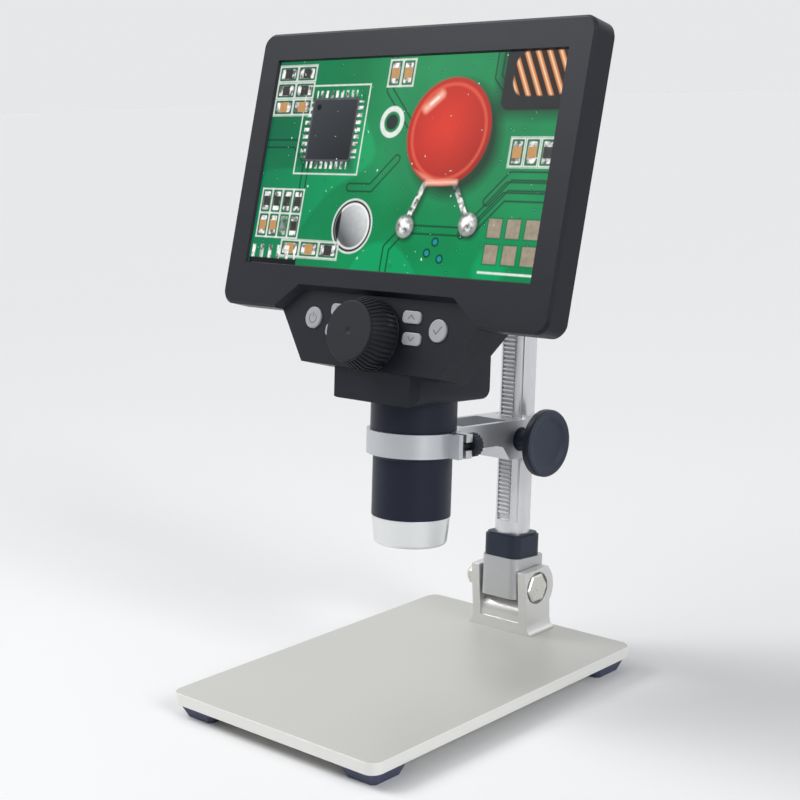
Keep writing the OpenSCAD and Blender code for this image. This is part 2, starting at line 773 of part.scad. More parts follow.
module height_knob() {
    r = knob_d / 2;
    color("#343a44") carriage_frame() translate([0, pinion_y, 0]) along_x() difference() {
        rotate_extrude() polygon([
            [shaft_r + fit_gap, knob_hub_x], [knob_hub_r, knob_hub_x], [knob_hub_r, knob_x - knob_edge / 2],
            [r - 1.4 * knob_edge, knob_x], [r, knob_x + knob_edge], [r, knob_x + knob_t - knob_edge],
            [r - knob_edge, knob_x + knob_t], [r - 2 * knob_edge, knob_x + knob_t],
            [r / 2, knob_x + knob_t - 0.8 * knob_dish], [r / 4, knob_x + knob_t - knob_dish],
            [0, knob_x + knob_t - knob_dish], [0, knob_x + shaft_in_knob + seat_gap],
            [shaft_r + fit_gap, knob_x + shaft_in_knob + seat_gap]
        ]);
        translate([0, 0, knob_screw_x]) rotate([0, -90, 0])
            cylinder(h = 2 * knob_hub_r, r = knob_screw_r + fit_gap);
    }
}

module knob_screw() {
    color("#30343c") carriage_frame() translate([knob_screw_x, pinion_y, shaft_r + seat_gap])
        difference() {
            cylinder(h = knob_hub_r - shaft_r - 0.3, r = knob_screw_r);
            translate([0, 0, 0.5]) cylinder(h = knob_hub_r, r = 0.8, $fn = 6);
        }
}

module clamp_screw() {
    start = clamp_skin + 2 * run_gap;
    color("darkgray") barrel_frame() translate([clamp_x, start, 0]) rotate([-90, 0, 0])
        cylinder(h = clamp_head_y + clamp_head_t / 2 - start, r = clamp_r);
}

module clamp_knob() {
    grooves = 18;
    r = clamp_knob_d / 2;
    color("#2c303a") barrel_frame() translate([clamp_x, clamp_head_y, 0]) rotate([-90, 0, 0]) difference() {
        linear_extrude(clamp_head_t) polygon([
            for (i = [0:2 * grooves - 1]) (r - (i % 2) * 0.35) * [cos(i * 180 / grooves), sin(i * 180 / grooves)]
        ]);
        translate([0, 0, -cut]) cylinder(h = clamp_head_t / 2 + cut, r = clamp_r + fit_gap);
    }
}

// ---- barrel and optics -----------------------------------------------------------------

module barrel() {
    color("#2e323c") barrel_frame() rotate_extrude() polygon([
        [barrel_bore, barrel_low], [barrel_r, barrel_low], [barrel_r, barrel_step - 1],
        [seat_r, barrel_step], [seat_r, ring_h / 2 + 0.1], [upper_r, ring_h / 2 + 0.1],
        [upper_r, neck_z - seat_gap], [thread_r, neck_z - seat_gap], [thread_r, barrel_top],
        [barrel_bore, barrel_top], [barrel_bore, neck_z - 2], [land_r, neck_z - 2],
        [land_r, neck_z - 2 - land_h], [barrel_bore, neck_z - 2 - land_h],
        [barrel_bore, barrel_low + 8 + land_h], [land_r, barrel_low + 8 + land_h],
        [land_r, barrel_low + 8], [barrel_bore, barrel_low + 8]
    ]);
}

module barrel_nut() {
    color("#2e323c") barrel_frame() translate([0, 0, neck_z + neck_wall + seat_gap]) difference() {
        cylinder(h = nut_ring_h, r = nut_ring_r);
        translate([0, 0, -cut]) cylinder(h = nut_ring_h + 2 * cut, r = thread_r + fit_gap);
    }
}

module lens_tip() {
    spigot_r = barrel_bore - fit_gap;
    low_r = tip_d / 2;
    color("gainsboro") barrel_frame() rotate_extrude() polygon(concat(
        [[lip_r, tip_low]],
        [for (a = [0:15:90]) [low_r - tip_round * (1 - sin(a)), tip_low + tip_round * (1 - cos(a))]],
        [[barrel_r - 0.2, barrel_low - seat_gap], [spigot_r, barrel_low - seat_gap],
            [spigot_r, barrel_low + 3.4], [tip_bore, barrel_low + 3.4], [tip_bore, led_board_z],
            [led_seat_r, led_board_z], [led_seat_r, tip_low + lip_h], [lip_r, tip_low + lip_h]]
    ));
}

module tip_window() {
    color([0.85, 0.9, 0.95, 0.4]) barrel_frame() translate([0, 0, tip_low + lip_h + seat_gap])
        cylinder(h = 1.2, r = led_seat_r - fit_gap);
}

module led_board() {
    color("#e8ece8") barrel_frame() translate([0, 0, led_board_z + seat_gap]) difference() {
        cylinder(h = led_board_t, r = tip_bore - fit_gap);
        translate([0, 0, -cut]) cylinder(h = led_board_t + 2 * cut, r = 7);
    }
}

module ring_leds() {
    led = [2.4, 2.8, 0.8];
    color("#fff6cc") barrel_frame() for (i = [0:led_count - 1]) rotate([0, 0, i * 360 / led_count])
        translate([led_ring_r, 0, led_board_z - led[2] / 2]) cube(led, center = true);
}

module lens_tube() {
    rack_u = focus_r + 1.2 * focus_module;
    foot = on_screen(dial_v - focus_rack_half, (focus_pinion_front + focus_pinion_back) / 2);
    upright_h = max(bracket_t, foot[1] + 0.3 - tube_high + bracket_t);
    color("#454b58") {
        barrel_frame() difference() {
            union() {
                translate([0, 0, tube_low]) cylinder(h = tube_high - tube_low, r = tube_r);
                // bracket that carries the focusing rack
                translate([rack_u, foot[0] - bracket_d / 2, tube_high - bracket_t]) {
                    cube([focus_rack_t, bracket_d / 2 - foot[0] - tube_r / 2, bracket_t]);
                    cube([focus_rack_t, bracket_d, upright_h]);
                }
            }
            translate([0, 0, tube_low - cut]) cylinder(h = tube_high - tube_low + 2 * cut, r = tube_r - tube_t);
        }
        screen_frame() translate([0, dial_v, focus_pinion_back + 0.2])
            linear_extrude(focus_pinion_front - focus_pinion_back - 0.4)
                polygon(rack_points(focus_module, focus_angle, -focus_r, -focus_r + 0.6 * focus_module,
                    -focus_r - 1.2 * focus_module, -rack_u - focus_rack_t, -focus_rack_half, focus_rack_half));
    }
}

// A lens of radius r, thickest in the middle, with its rim from z = 0 to z = rim
module lens(r, rim, bulge) {
    big = (r * r + bulge * bulge) / (2 * bulge);
    arc = [for (i = [0:8]) [r * (8 - i) / 8, sqrt(big * big - pow(r * (8 - i) / 8, 2)) - big + bulge]];
    rotate_extrude() polygon(concat(
        [for (p = arc) [p[0], rim + p[1]]], [for (i = [8:-1:0]) [arc[i][0], -arc[i][1]]]
    ));
}

module front_lens() {
    color([0.7, 0.85, 0.95, 0.5]) barrel_frame() translate([0, 0, front_lens_z])
        lens(tube_r - tube_t - fit_gap, front_lens_rim, 1.4);
}

module rear_lens() {
    color([0.7, 0.85, 0.95, 0.5]) barrel_frame() translate([0, 0, rear_lens_z])
        lens(tube_r - tube_t - fit_gap, 1.6, 1);
}

module lens_ring() {
    r = tube_r - tube_t - fit_gap;
    color("#2c303a") barrel_frame() difference() {
        union() {
            translate([0, 0, tube_low + 0.4]) cylinder(h = front_lens_z - lens_sag - tube_low - 0.4, r = r);
            translate([0, 0, front_lens_z + front_lens_rim + lens_sag])
                cylinder(h = rear_lens_z - front_lens_z - front_lens_rim - 2 * lens_sag, r = r);
        }
        translate([0, 0, tube_low - cut]) cylinder(h = 30, r = r - 1.2);
    }
}

module sensor_board() {
    color("#1f6b45") barrel_frame() translate([0, 0, sensor_z]) difference() {
        union() {
            translate([-sensor_screw_x - sensor_edge, sensor_front, 0])
                cube([2 * (sensor_screw_x + sensor_edge), sensor_d, board_t]);
            translate([-chip_w / 2, -chip_w / 2, -chip_t]) cube([chip_w, chip_w, chip_t + board_t / 2]);
        }
        for (x = [-1, 1]) translate([x * sensor_screw_x, 2, -cut])
            cylinder(h = board_t + 2 * cut, r = screw_r + fit_gap);
    }
}

module sensor_screws() {
    color("gray") barrel_frame() for (x = [-1, 1])
        translate([x * sensor_screw_x, 2, sensor_z + board_t + seat_gap])
            pan_screw(screw_r, board_t + 3, screw_head_r, screw_head_h);
}

// ---- neck -------------------------------------------------------------------------------

// Side view of the neck: it fills the corner under the panel and behind the rear shell
function neck_side(extra) =
    let (
        top_w = (neck_front - screen_fwd + panel_bottom * sin(screen_rake)) / cos(screen_rake),
        back_low = on_screen(panel_bottom - seat_gap, -back_depth - seat_gap),
        knee = [neck_back, neck_z + neck_back_h],
        crown = on_screen(panel_bottom + 33, -back_depth - seat_gap)
    )
    [
        [-neck_front, neck_z], [-neck_front, on_screen(panel_bottom - seat_gap, top_w)[1] + extra],
        back_low + [-extra / 4, extra], crown + (crown - knee) * extra / 12, knee, [neck_back, neck_z]
    ];

module neck_housing() {
    in_w = neck_w - 2 * neck_wall;
    ledge_w = in_w / 2 - tube_r - 0.7;
    corner = 5;
    color("#30343e") {
        barrel_frame() difference() {
            intersection() {
                across(neck_w) polygon(neck_side(0));
                rotate([90, 0, 0]) linear_extrude(4 * neck_front, center = true) union() {
                    translate([-neck_w / 2, neck_z + corner]) square([neck_w, screen_h]);
                    translate([-neck_w / 2 + corner, neck_z]) square([neck_w - 2 * corner, corner + 1]);
                    for (x = [-1, 1]) translate([x * (neck_w / 2 - corner), neck_z + corner]) circle(r = corner);
                }
                translate([0, 0, neck_z]) linear_extrude(screen_h) polygon([
                    [-neck_w / 2 + neck_chamfer, -neck_front], [neck_w / 2 - neck_chamfer, -neck_front],
                    [neck_w / 2, -neck_front + neck_chamfer], [neck_w / 2, neck_back + cut],
                    [-neck_w / 2, neck_back + cut], [-neck_w / 2, -neck_front + neck_chamfer]
                ]);
            }
            difference() {
                across(in_w) polygon(inset(neck_side(8), neck_wall));
                // ledges that carry the sensor board
                for (x = [-1, 1]) translate([x * (in_w / 2 - ledge_w / 2 + 0.5), 2, sensor_z - seat_gap - 2])
                    cube([ledge_w + 1, 10, 4], center = true);
                // posts for the screws from the shells
                for (x = [-1, 1]) translate([x * neck_screw_u, 0, 0]) neck_post(post_r + 0.6);
            }
            translate([0, 0, neck_z - cut]) cylinder(h = neck_wall + 2 * cut, r = thread_r + fit_gap);
            for (x = [-1, 1]) translate([x * sensor_screw_x, 2, sensor_z - 6])
                cylinder(h = 8, r = screw_r + fit_gap);
            for (x = [-1, 1]) translate([x * neck_screw_u, 0, 0]) neck_post(screw_r + fit_gap);
            // room for the sensor board above its ledges
            translate([-in_w / 2, -12, sensor_z - seat_gap]) cube([in_w, 26, board_t + 1.5]);
        }
    }
}

// An upright cylinder on the neck screws' line, in the barrel's frame, below the panel's bottom edge
module neck_post(r)
    translate([0, -screen_fwd, screen_h]) rotate([90 - screen_rake, 0, 0])
        translate([0, panel_bottom - neck_post_h, neck_screw_w]) rotate([-90, 0, 0])
            cylinder(h = neck_post_h + cut / 2, r = r);

module neck_screws() {
    color("gray") screen_frame() for (x = [-1, 1])
        translate([x * neck_screw_u, panel_bottom + wall + seat_gap, neck_screw_w]) rotate([-90, 0, 0])
            pan_screw(screw_r, wall + neck_screw_grip, screw_head_r, screw_head_h);
}

// ---- shells -------------------------------------------------------------------------------

module head_outline(grow)
    translate([0, head_mid]) rounded_rect(head_w + 2 * grow, head_h + 2 * grow, head_r + grow);

// A slab of the head's outline with its front edge chamfered
module head_slab() {
    translate([0, 0, -seam_depth]) linear_extrude(seam_depth + bezel_proud - edge_chamfer) head_outline(0);
    hull() {
        translate([0, 0, bezel_proud - edge_chamfer - 0.01]) linear_extrude(0.01) head_outline(0);
        translate([0, 0, bezel_proud - 0.01]) linear_extrude(0.01) head_outline(-edge_chamfer);
    }
}

// A frustum between two outlines given as children, from z = low to z = high
module bridge(low, high) hull() {
    translate([0, 0, low]) linear_extrude(0.01) children(0);
    translate([0, 0, high]) linear_extrude(0.01) children(1);
}

module button_outline(kind, grow) {
    if (kind == "round") circle(r = round_button_d / 2 + grow);
    else rounded_rect(oblong_button_w + 2 * grow, oblong_button_h + 2 * grow, oblong_button_h / 2 - 0.7 + grow);
}

// Place and kind of each button
button_high = head_bottom + 2.1;
button_low = head_bottom - 6.4;
button_mid = head_bottom - 2.1;
power_place = [-34.5, button_mid];
ok_place = [34.5, button_mid];
menu_place = [-20, button_high];
mode_place = [-21.5, button_low];
up_place = [20, button_high];
down_place = [21.5, button_low];
round_places = [power_place, ok_place];
oblong_places = [menu_place, mode_place, up_place, down_place];

module at_buttons(grow) {
    for (p = round_places) translate(p) button_outline("round", grow);
    for (p = oblong_places) translate(p) button_outline("oblong", grow);
}

module front_shell() {
    rim = 2.2;
    color("#33363f") screen_frame() difference() {
        union() {
            difference() {
                union() {
                    head_slab();
                    translate([0, 0, -seam_depth]) linear_extrude(seam_depth - panel_depth) polygon(panel_outline);
                }
                // hollow behind the picture, the chin and the panel
                translate([-head_w / 2 + rim, panel_top + wall, -seam_depth - cut])
                    cube([head_w - 2 * rim, head_top - rim - panel_top - wall, seam_depth + cut + seat_gap]);
                translate([-head_w / 2 + rim, head_bottom + rim, -seam_depth - cut])
                    cube([head_w - 2 * rim, panel_rise, seam_depth + cut + panel_back]);
                translate([0, 0, -seam_depth - cut]) linear_extrude(seam_depth + cut + panel_back)
                    polygon(inset(panel_outline, wall));
                // sloped recess of the panel and sloped window
                bridge(-panel_depth, bezel_proud + 0.1) {
                    polygon(inset(panel_outline, 0));
                    polygon(inset(panel_outline, -1.8));
                }
                bridge(-cut, bezel_proud + 0.1) {
                    square([active_w + 0.4, active_h + 0.4], center = true);
                    square([active_w + 2.4, active_h + 2.4], center = true);
                }
            }
            // dial bearing, screw posts and button board posts
            translate([0, dial_v, dial_boss_end]) cylinder(h = panel_back - dial_boss_end + cut, r = dial_boss_r);
            for (p = shell_screw_places) translate([p[0], p[1], -seam_depth])
                cylinder(h = seam_depth + panel_back + 0.5, r = post_r);
            for (p = button_screw_places) translate([p[0], p[1], button_board_front + seat_gap])
                cylinder(h = panel_back - button_board_front + 0.5, r = post_r);
        }
        translate([0, dial_v, -seam_depth - 4]) cylinder(h = seam_depth + 8, r = dial_shaft_r + run_gap);
        for (p = shell_screw_places) translate([p[0], p[1], -seam_depth - cut])
            cylinder(h = 4 + cut, r = screw_r + fit_gap);
        for (p = button_screw_places) translate([p[0], p[1], button_board_front - cut])
            cylinder(h = 2.4 + cut, r = screw_r + fit_gap);
        translate([0, 0, panel_back - cut]) linear_extrude(wall + 2 * cut) at_buttons(button_gap);
        // way down into the neck
        translate([-14, panel_bottom - cut, -seam_depth - cut]) cube([28, wall + 2 * cut, seam_depth - 6 + cut]);
        // charging port and card slot in the left side
        translate([-head_w / 2 - cut, port_v - 4.6, board_front - 0.1]) cube([rim + 2 * cut, 9.2, 3.4]);
        translate([-head_w / 2 - cut, card_v - 7, board_front - 0.1]) cube([rim + 2 * cut, 14, 1.6]);
    }
}

port_v = 12;
card_v = -14;

module rear_shell() {
    vent_pitch = 4;
    color("#2e3139") screen_frame() difference() {
        union() {
            difference() {
                union() {
                    translate([0, 0, -seam_depth - seat_gap - cover_t]) linear_extrude(cover_t)
                        head_outline(-cover_inset);
                    translate([0, 0, -back_depth]) linear_extrude(back_depth - seam_depth - seat_gap)
                        polygon(hump_outline);
                }
                translate([0, 0, -back_depth + wall]) linear_extrude(back_depth)
                    polygon(inset(hump_outline, wall));
            }
            for (p = board_screw_places) translate([p[0], p[1], -back_depth + wall - 0.5])
                cylinder(h = back_depth - wall + 0.5 + board_back - seat_gap, r = post_r);
            for (i = [4, 5]) translate([shell_screw_places[i][0], shell_screw_places[i][1], -back_depth])
                cylinder(h = back_depth - seam_depth - seat_gap, r = post_r + 1);
        }
        for (p = board_screw_places) translate([p[0], p[1], board_back - 5])
            cylinder(h = 6, r = screw_r + fit_gap);
        for (p = shell_screw_places) translate([p[0], p[1], -back_depth - cut])
            cylinder(h = back_depth, r = screw_r + fit_gap);
        for (i = [4, 5]) translate([shell_screw_places[i][0], shell_screw_places[i][1], -back_depth - cut])
            cylinder(h = back_depth - seam_depth - cover_t + cut, r = screw_head_r + 0.3);
        // battery opening with its ledges' screw holes
        translate([0, door_v, -back_depth - cut]) linear_extrude(wall + 2 * cut)
            rounded_rect(door_w, door_h, door_r);
        // vents above the battery
        for (i = [-8:8]) translate([i * vent_pitch - 0.8, 30, -back_depth - cut]) cube([1.6, 11, wall + 2 * cut]);
        // way into the neck
        translate([-14, panel_bottom - cut, -back_depth + wall]) cube([28, wall + 2 * cut, back_depth]);
        translate([-14, panel_bottom - cut, -back_depth - cut]) cube([28, 27, wall + 2 * cut]);
        for (x = [-1, 1]) translate([x * neck_screw_u, panel_bottom - cut, neck_screw_w]) rotate([-90, 0, 0])
            cylinder(h = wall + 2 * cut, r = screw_r + fit_gap);
    }
}

module shell_screws() {
    color("gray") screen_frame() for (i = [0:len(shell_screw_places) - 1])
        translate([shell_screw_places[i][0], shell_screw_places[i][1], -seam_depth - cover_t - 2 * seat_gap])
            rotate([180, 0, 0]) pan_screw(screw_r, cover_t + 3.5, screw_head_r, screw_head_h);
}

module battery_door() {
    color("#2e3139") screen_frame() difference() {
        translate([0, door_v, -back_depth]) linear_extrude(wall)
            rounded_rect(door_w - 0.4, door_h - 0.4, door_r - 0.2);
        for (x = [-1, 1]) translate([x * (door_w / 2 - 5), door_v, -back_depth - cut])
            cylinder(h = wall + 2 * cut, r = screw_r + fit_gap);
        // finger ribs
        for (i = [0:4]) translate([-9, door_v - door_h / 2 + 4 + 2 * i, -back_depth - 0.5]) cube([18, 0.9, 1]);
    }
}

module door_screws() {
    color("gray") screen_frame() for (x = [-1, 1])
        translate([x * (door_w / 2 - 5), door_v, -back_depth - seat_gap]) rotate([180, 0, 0])
            pan_screw(screw_r, wall + 1, screw_head_r, screw_head_h);
}

// ---- electronics ----------------------------------------------------------------------------

module lcd_panel() {
    color("#20302a") screen_frame() translate([0, 0, -glass_t / 2])
        cube([module_w, module_h, glass_t], center = true);
}

module lcd_backlight() {
    color("silver") screen_frame() translate([0, 0, -glass_t - seat_gap - light_t / 2])
        cube([module_w, module_h, light_t], center = true);
}

module main_board() {
    chips = [[-30, 8, 16], [4, 12, 12], [30, -6, 10], [-8, -20, 8]];
    color("#1f6b45") screen_frame() difference() {
        union() {
            translate([board_left, board_low, board_back])
                cube([board_right - board_left, board_high - board_low, board_t]);
            for (c = chips) translate([c[0] - c[2] / 2, c[1] - c[2] / 2, board_front - 0.5])
                cube([c[2], c[2], 1.9]);
        }
        for (p = board_screw_places) translate([p[0], p[1], board_back - cut])
            cylinder(h = board_t + 2 * cut, r = screw_r + fit_gap);
    }
}

module board_screws() {
    color("gray") screen_frame() for (p = board_screw_places)
        translate([p[0], p[1], board_front + seat_gap])
            pan_screw(screw_r, board_t + 4, screw_head_r, screw_head_h);
}

module battery_pack() {
    color("#5a7fa8") screen_frame() translate([0, door_v, -back_depth + wall + seat_gap])
        linear_extrude(battery_t) rounded_rect(door_w - 14, door_h - 8, 2);
}

module charging_port() {
    color("silver") screen_frame() translate([-head_w / 2 + 0.3, port_v - 4.4, board_front + seat_gap])
        difference() {
            cube([7, 8.8, 3.1]);
            translate([-cut, 0.7, 0.5]) cube([6, 7.4, 2.1]);
        }
}

module card_slot() {
    color("silver") screen_frame() translate([-head_w / 2 + 0.8, card_v - 6.8, board_front + seat_gap])
        difference() {
            cube([6.6, 13.6, 1.4]);
            translate([-cut, 0.7, 0.3]) cube([6, 12.2, 0.8]);
        }
}

module button_board() {
    color("#1f6b45") screen_frame() difference() {
        union() {
            translate([0, 0, button_board_front - button_board_t]) linear_extrude(button_board_t)
                polygon(inset(panel_outline, wall + 2.5));
            for (p = concat(round_places, oblong_places))
                translate([p[0] - 2, p[1] - 2, button_board_front - 0.5]) cube([4, 4, switch_h + 0.5]);
        }
        translate([0, dial_v, button_board_front - 4]) cylinder(h = 8, r = dial_boss_r + 0.5);
        for (p = button_screw_places) translate([p[0], p[1], button_board_front - 4])
            cylinder(h = 8, r = screw_r + fit_gap);
        for (i = [4, 5]) translate([shell_screw_places[i][0], shell_screw_places[i][1], button_board_front - 4])
            cylinder(h = 8, r = post_r + 0.4);
    }
}

module button_screws() {
    color("gray") screen_frame() for (p = button_screw_places)
        translate([p[0], p[1], button_board_front - button_board_t - seat_gap]) rotate([180, 0, 0])
            pan_screw(screw_r, button_board_t + 2, screw_head_r, screw_head_h);
}

// A button: the cap in its hole and a wider flange behind the panel
module button(kind, place) {
    color("silver") screen_frame() translate([place[0], place[1], 0]) {
        translate([0, 0, panel_back - 0.6]) linear_extrude(button_front - panel_back + 0.6 - 0.4)
            button_outline(kind, 0);
        translate([0, 0, button_front - 0.4]) linear_extrude(0.4) button_outline(kind, -0.4);
        translate([0, 0, panel_back - 0.6]) linear_extrude(0.6 - seat_gap) button_outline(kind, 0.7);
    }
}

module power_button() button("round", power_place);
module ok_button() button("round", ok_place);
module menu_button() button("oblong", menu_place);
module mode_button() button("oblong", mode_place);
module up_button() button("oblong", up_place);
module down_button() button("oblong", down_place);

// The dial flares from its flat face to its foot, with a rib at every step round it
module focus_dial() {
    r = dial_d / 2;
    face = dial_face_d / 2;
    low = -panel_depth + side_gap;
    lip = dial_proud - 1.1;
    knee = dial_proud - dial_flare;
    color("#34373f") screen_frame() translate([0, dial_v, 0]) difference() {
        union() {
            rotate_extrude() polygon([
                [0, low], [r, low], [r, low + 1], [r - dial_rib_h, low + 1], [r - dial_rib_h, knee],
                [face - dial_rib_h, lip], [face, lip], [face, dial_proud - 0.4], [face - 0.4, dial_proud],
                [0, dial_proud]
            ]);
            for (i = [0:dial_ribs - 1]) rotate([90, 0, i * 360 / dial_ribs])
                translate([0, 0, -dial_rib_t / 2]) linear_extrude(dial_rib_t) polygon([
                    [face - 1.6, low + 0.5], [r - 0.15, low + 0.5], [r - 0.15, knee], [face - 0.1, lip + 0.2],
                    [face - 1.6, lip + 0.2]
                ]);
        }
        translate([0, 0, low - cut]) cylinder(h = dial_proud - low - 2 + cut, r = dial_shaft_r + fit_gap);
        translate([0, 0, dial_proud + 2.6]) sphere(r = 3);
    }
}

module dial_shaft() {
    color("darkgray") screen_frame() translate([0, dial_v, 0]) {
        translate([0, 0, focus_pinion_back - 0.2])
            cylinder(h = dial_proud - 2.2 - focus_pinion_back, r = dial_shaft_r);
        translate([0, 0, focus_pinion_back])
            linear_extrude(focus_pinion_front - focus_pinion_back)
                polygon(pinion_points(focus_teeth, focus_module, focus_angle, focus_tip, focus_root));
    }
}

base_plate();
rubber_feet();
foot_screws();
stand_yoke();
yoke_screws();
hinge_bolt();
hinge_nut();
hinge_washers();
tilt_block();
mast_collar();
mast_column();
column_screw();
column_cap();
carriage_arm();
column_liner();
shaft_bush();
pinion_shaft();
height_knob();
knob_screw();
clamp_screw();
clamp_knob();
front_shell();
rear_shell();
neck_housing();
neck_screws();
barrel();
barrel_nut();
lens_tip();
tip_window();
led_board();
ring_leds();
lens_tube();
front_lens();
rear_lens();
lens_ring();
sensor_board();
sensor_screws();
lcd_panel();
lcd_backlight();
main_board();
board_screws();
battery_pack();
battery_door();
door_screws();
button_board();
button_screws();
charging_port();
card_slot();
shell_screws();
power_button();
menu_button();
mode_button();
up_button();
down_button();
ok_button();
focus_dial();
dial_shaft();
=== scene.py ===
import json
import math
import bpy
from mathutils import Matrix, Vector


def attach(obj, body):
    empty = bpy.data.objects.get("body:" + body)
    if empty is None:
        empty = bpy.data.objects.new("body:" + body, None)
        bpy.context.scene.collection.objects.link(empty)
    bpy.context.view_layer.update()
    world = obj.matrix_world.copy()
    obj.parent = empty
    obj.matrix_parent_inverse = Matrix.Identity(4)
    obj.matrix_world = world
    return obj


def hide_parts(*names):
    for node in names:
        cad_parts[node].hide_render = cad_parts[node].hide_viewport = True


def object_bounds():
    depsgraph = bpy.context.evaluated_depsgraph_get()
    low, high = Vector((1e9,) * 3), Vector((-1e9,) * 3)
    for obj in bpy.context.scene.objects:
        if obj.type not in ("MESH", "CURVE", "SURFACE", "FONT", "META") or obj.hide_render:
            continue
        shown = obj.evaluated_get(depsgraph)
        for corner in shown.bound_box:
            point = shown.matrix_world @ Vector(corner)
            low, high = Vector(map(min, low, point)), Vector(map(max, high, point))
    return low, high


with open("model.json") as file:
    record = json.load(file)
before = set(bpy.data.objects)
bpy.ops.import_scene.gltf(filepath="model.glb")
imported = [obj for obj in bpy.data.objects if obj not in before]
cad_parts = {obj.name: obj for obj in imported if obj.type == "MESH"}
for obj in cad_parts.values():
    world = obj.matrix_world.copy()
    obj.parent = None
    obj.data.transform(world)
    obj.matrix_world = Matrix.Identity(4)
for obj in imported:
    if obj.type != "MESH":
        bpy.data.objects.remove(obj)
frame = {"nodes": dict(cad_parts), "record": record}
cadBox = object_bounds()
bpy.ops.object.select_all(action="DESELECT")
bpy.context.scene.view_settings.view_transform = "Standard"
nodes = frame["nodes"]
bodyOf = {node: body for body, names in frame["record"]["behaviour"]["bodies"].items() for node in names}
joints = {joint["name"]: joint for joint in frame["record"]["behaviour"]["joints"]}
mm = 0.001
print("frame: %d nodes, %d joints" % (len(nodes), len(joints)))

# places that the pieces share
tilt = joints["mast_tilt"]
mastAxis = Vector(joints["carriage_slide"]["axis"])
mastLean = math.atan2(mastAxis.y, mastAxis.z)
mastPlace = Matrix.Translation(Vector(tilt["pos_m"])) @ Matrix.Rotation(-mastLean, 4, "X")
barrelPlace = Matrix.Translation(Vector(joints["head_swivel"]["pos_m"])) @ Matrix.Rotation(-mastLean, 4, "X")
dialAxis = Vector(joints["focus_dial_turn"]["axis"])
dialSpot = Vector(joints["focus_dial_turn"]["pos_m"])
screenLean = math.asin(dialAxis.z)
screenUp = Vector((0, math.sin(screenLean), math.cos(screenLean)))
dialDrop = 69.25 * mm                      # from the picture's middle down to the dial
screenMiddle = dialSpot + screenUp * dialDrop
screenTurn = Matrix.Rotation(math.radians(90) - screenLean, 4, "X")
screenPlace = Matrix.Translation(screenMiddle) @ screenTurn
knobSpot = Vector(joints["height_knob_turn"]["pos_m"])


def paint(red, green, blue):
    # a colour as it looks on a display, 0 to 255, as Blender's linear values
    out = []
    for part in (red, green, blue):
        part = part / 255
        out.append(part / 12.92 if part <= 0.04045 else ((part + 0.055) / 1.055) ** 2.4)
    return (*out, 1)


class Val:
    # wraps a socket, so that sums with it add their nodes
    def __init__(self, bench, socket):
        self.bench = bench
        self.socket = socket

    def calc(self, operation, *others):
        return self.bench.calc(operation, self, *others)

    def __add__(self, other):
        return self.calc("ADD", other)

    def __radd__(self, other):
        return self.bench.calc("ADD", other, self)

    def __sub__(self, other):
        return self.calc("SUBTRACT", other)

    def __rsub__(self, other):
        return self.bench.calc("SUBTRACT", other, self)

    def __mul__(self, other):
        return self.calc("MULTIPLY", other)

    def __rmul__(self, other):
        return self.bench.calc("MULTIPLY", other, self)

    def __truediv__(self, other):
        return self.calc("DIVIDE", other)

    def __rtruediv__(self, other):
        return self.bench.calc("DIVIDE", other, self)

    def __abs__(self):
        return self.calc("ABSOLUTE")

    def least(self, other):
        return self.calc("MINIMUM", other)

    def most(self, other):
        return self.calc("MAXIMUM", other)

    def wave(self):
        return self.calc("SINE")

    def root(self):
        return self.calc("SQRT")

    def clip(self):
        return self.most(0).least(1)

    def inside(self, soft):
        return (0.5 - self / soft).clip()      # 1 where a distance is negative, over a soft edge


class NodeBench:
    # one node tree, and the ways to add to it
    def __init__(self, tree):
        self.tree = tree
        self.tree.nodes.clear()

    def feed(self, socket, value):
        if isinstance(value, Val):
            self.tree.links.new(value.socket, socket)
        else:
            socket.default_value = value

    def add(self, kind, settings=None, sockets=None, out=0, stops=None):
        # settings and a ramp's stops come first, then the values or links of the sockets
        node = self.tree.nodes.new(kind)
        for name, value in (settings or {}).items():
            setattr(node, name, value)
        if stops:
            ramp = node.color_ramp
            while len(ramp.elements) < len(stops):
                ramp.elements.new(0.5)
            for element, (place, colour) in zip(ramp.elements, stops):
                element.position = place
                element.color = colour
        for name, value in (sockets or {}).items():
            self.feed(node.inputs[name], value)
        return None if out is None else Val(self, node.outputs[out])

    def calc(self, operation, *values):
        return self.add("ShaderNodeMath", {"operation": operation}, dict(enumerate(values)))

    def parts(self, vector):
        split = self.add("ShaderNodeSeparateXYZ", {}, {"Vector": vector})
        return [Val(self, socket) for socket in split.socket.node.outputs]

    def blend(self, share, first, second):
        return self.add("ShaderNodeMix", {"data_type": "RGBA"}, {0: share, 6: first, 7: second}, out=2)


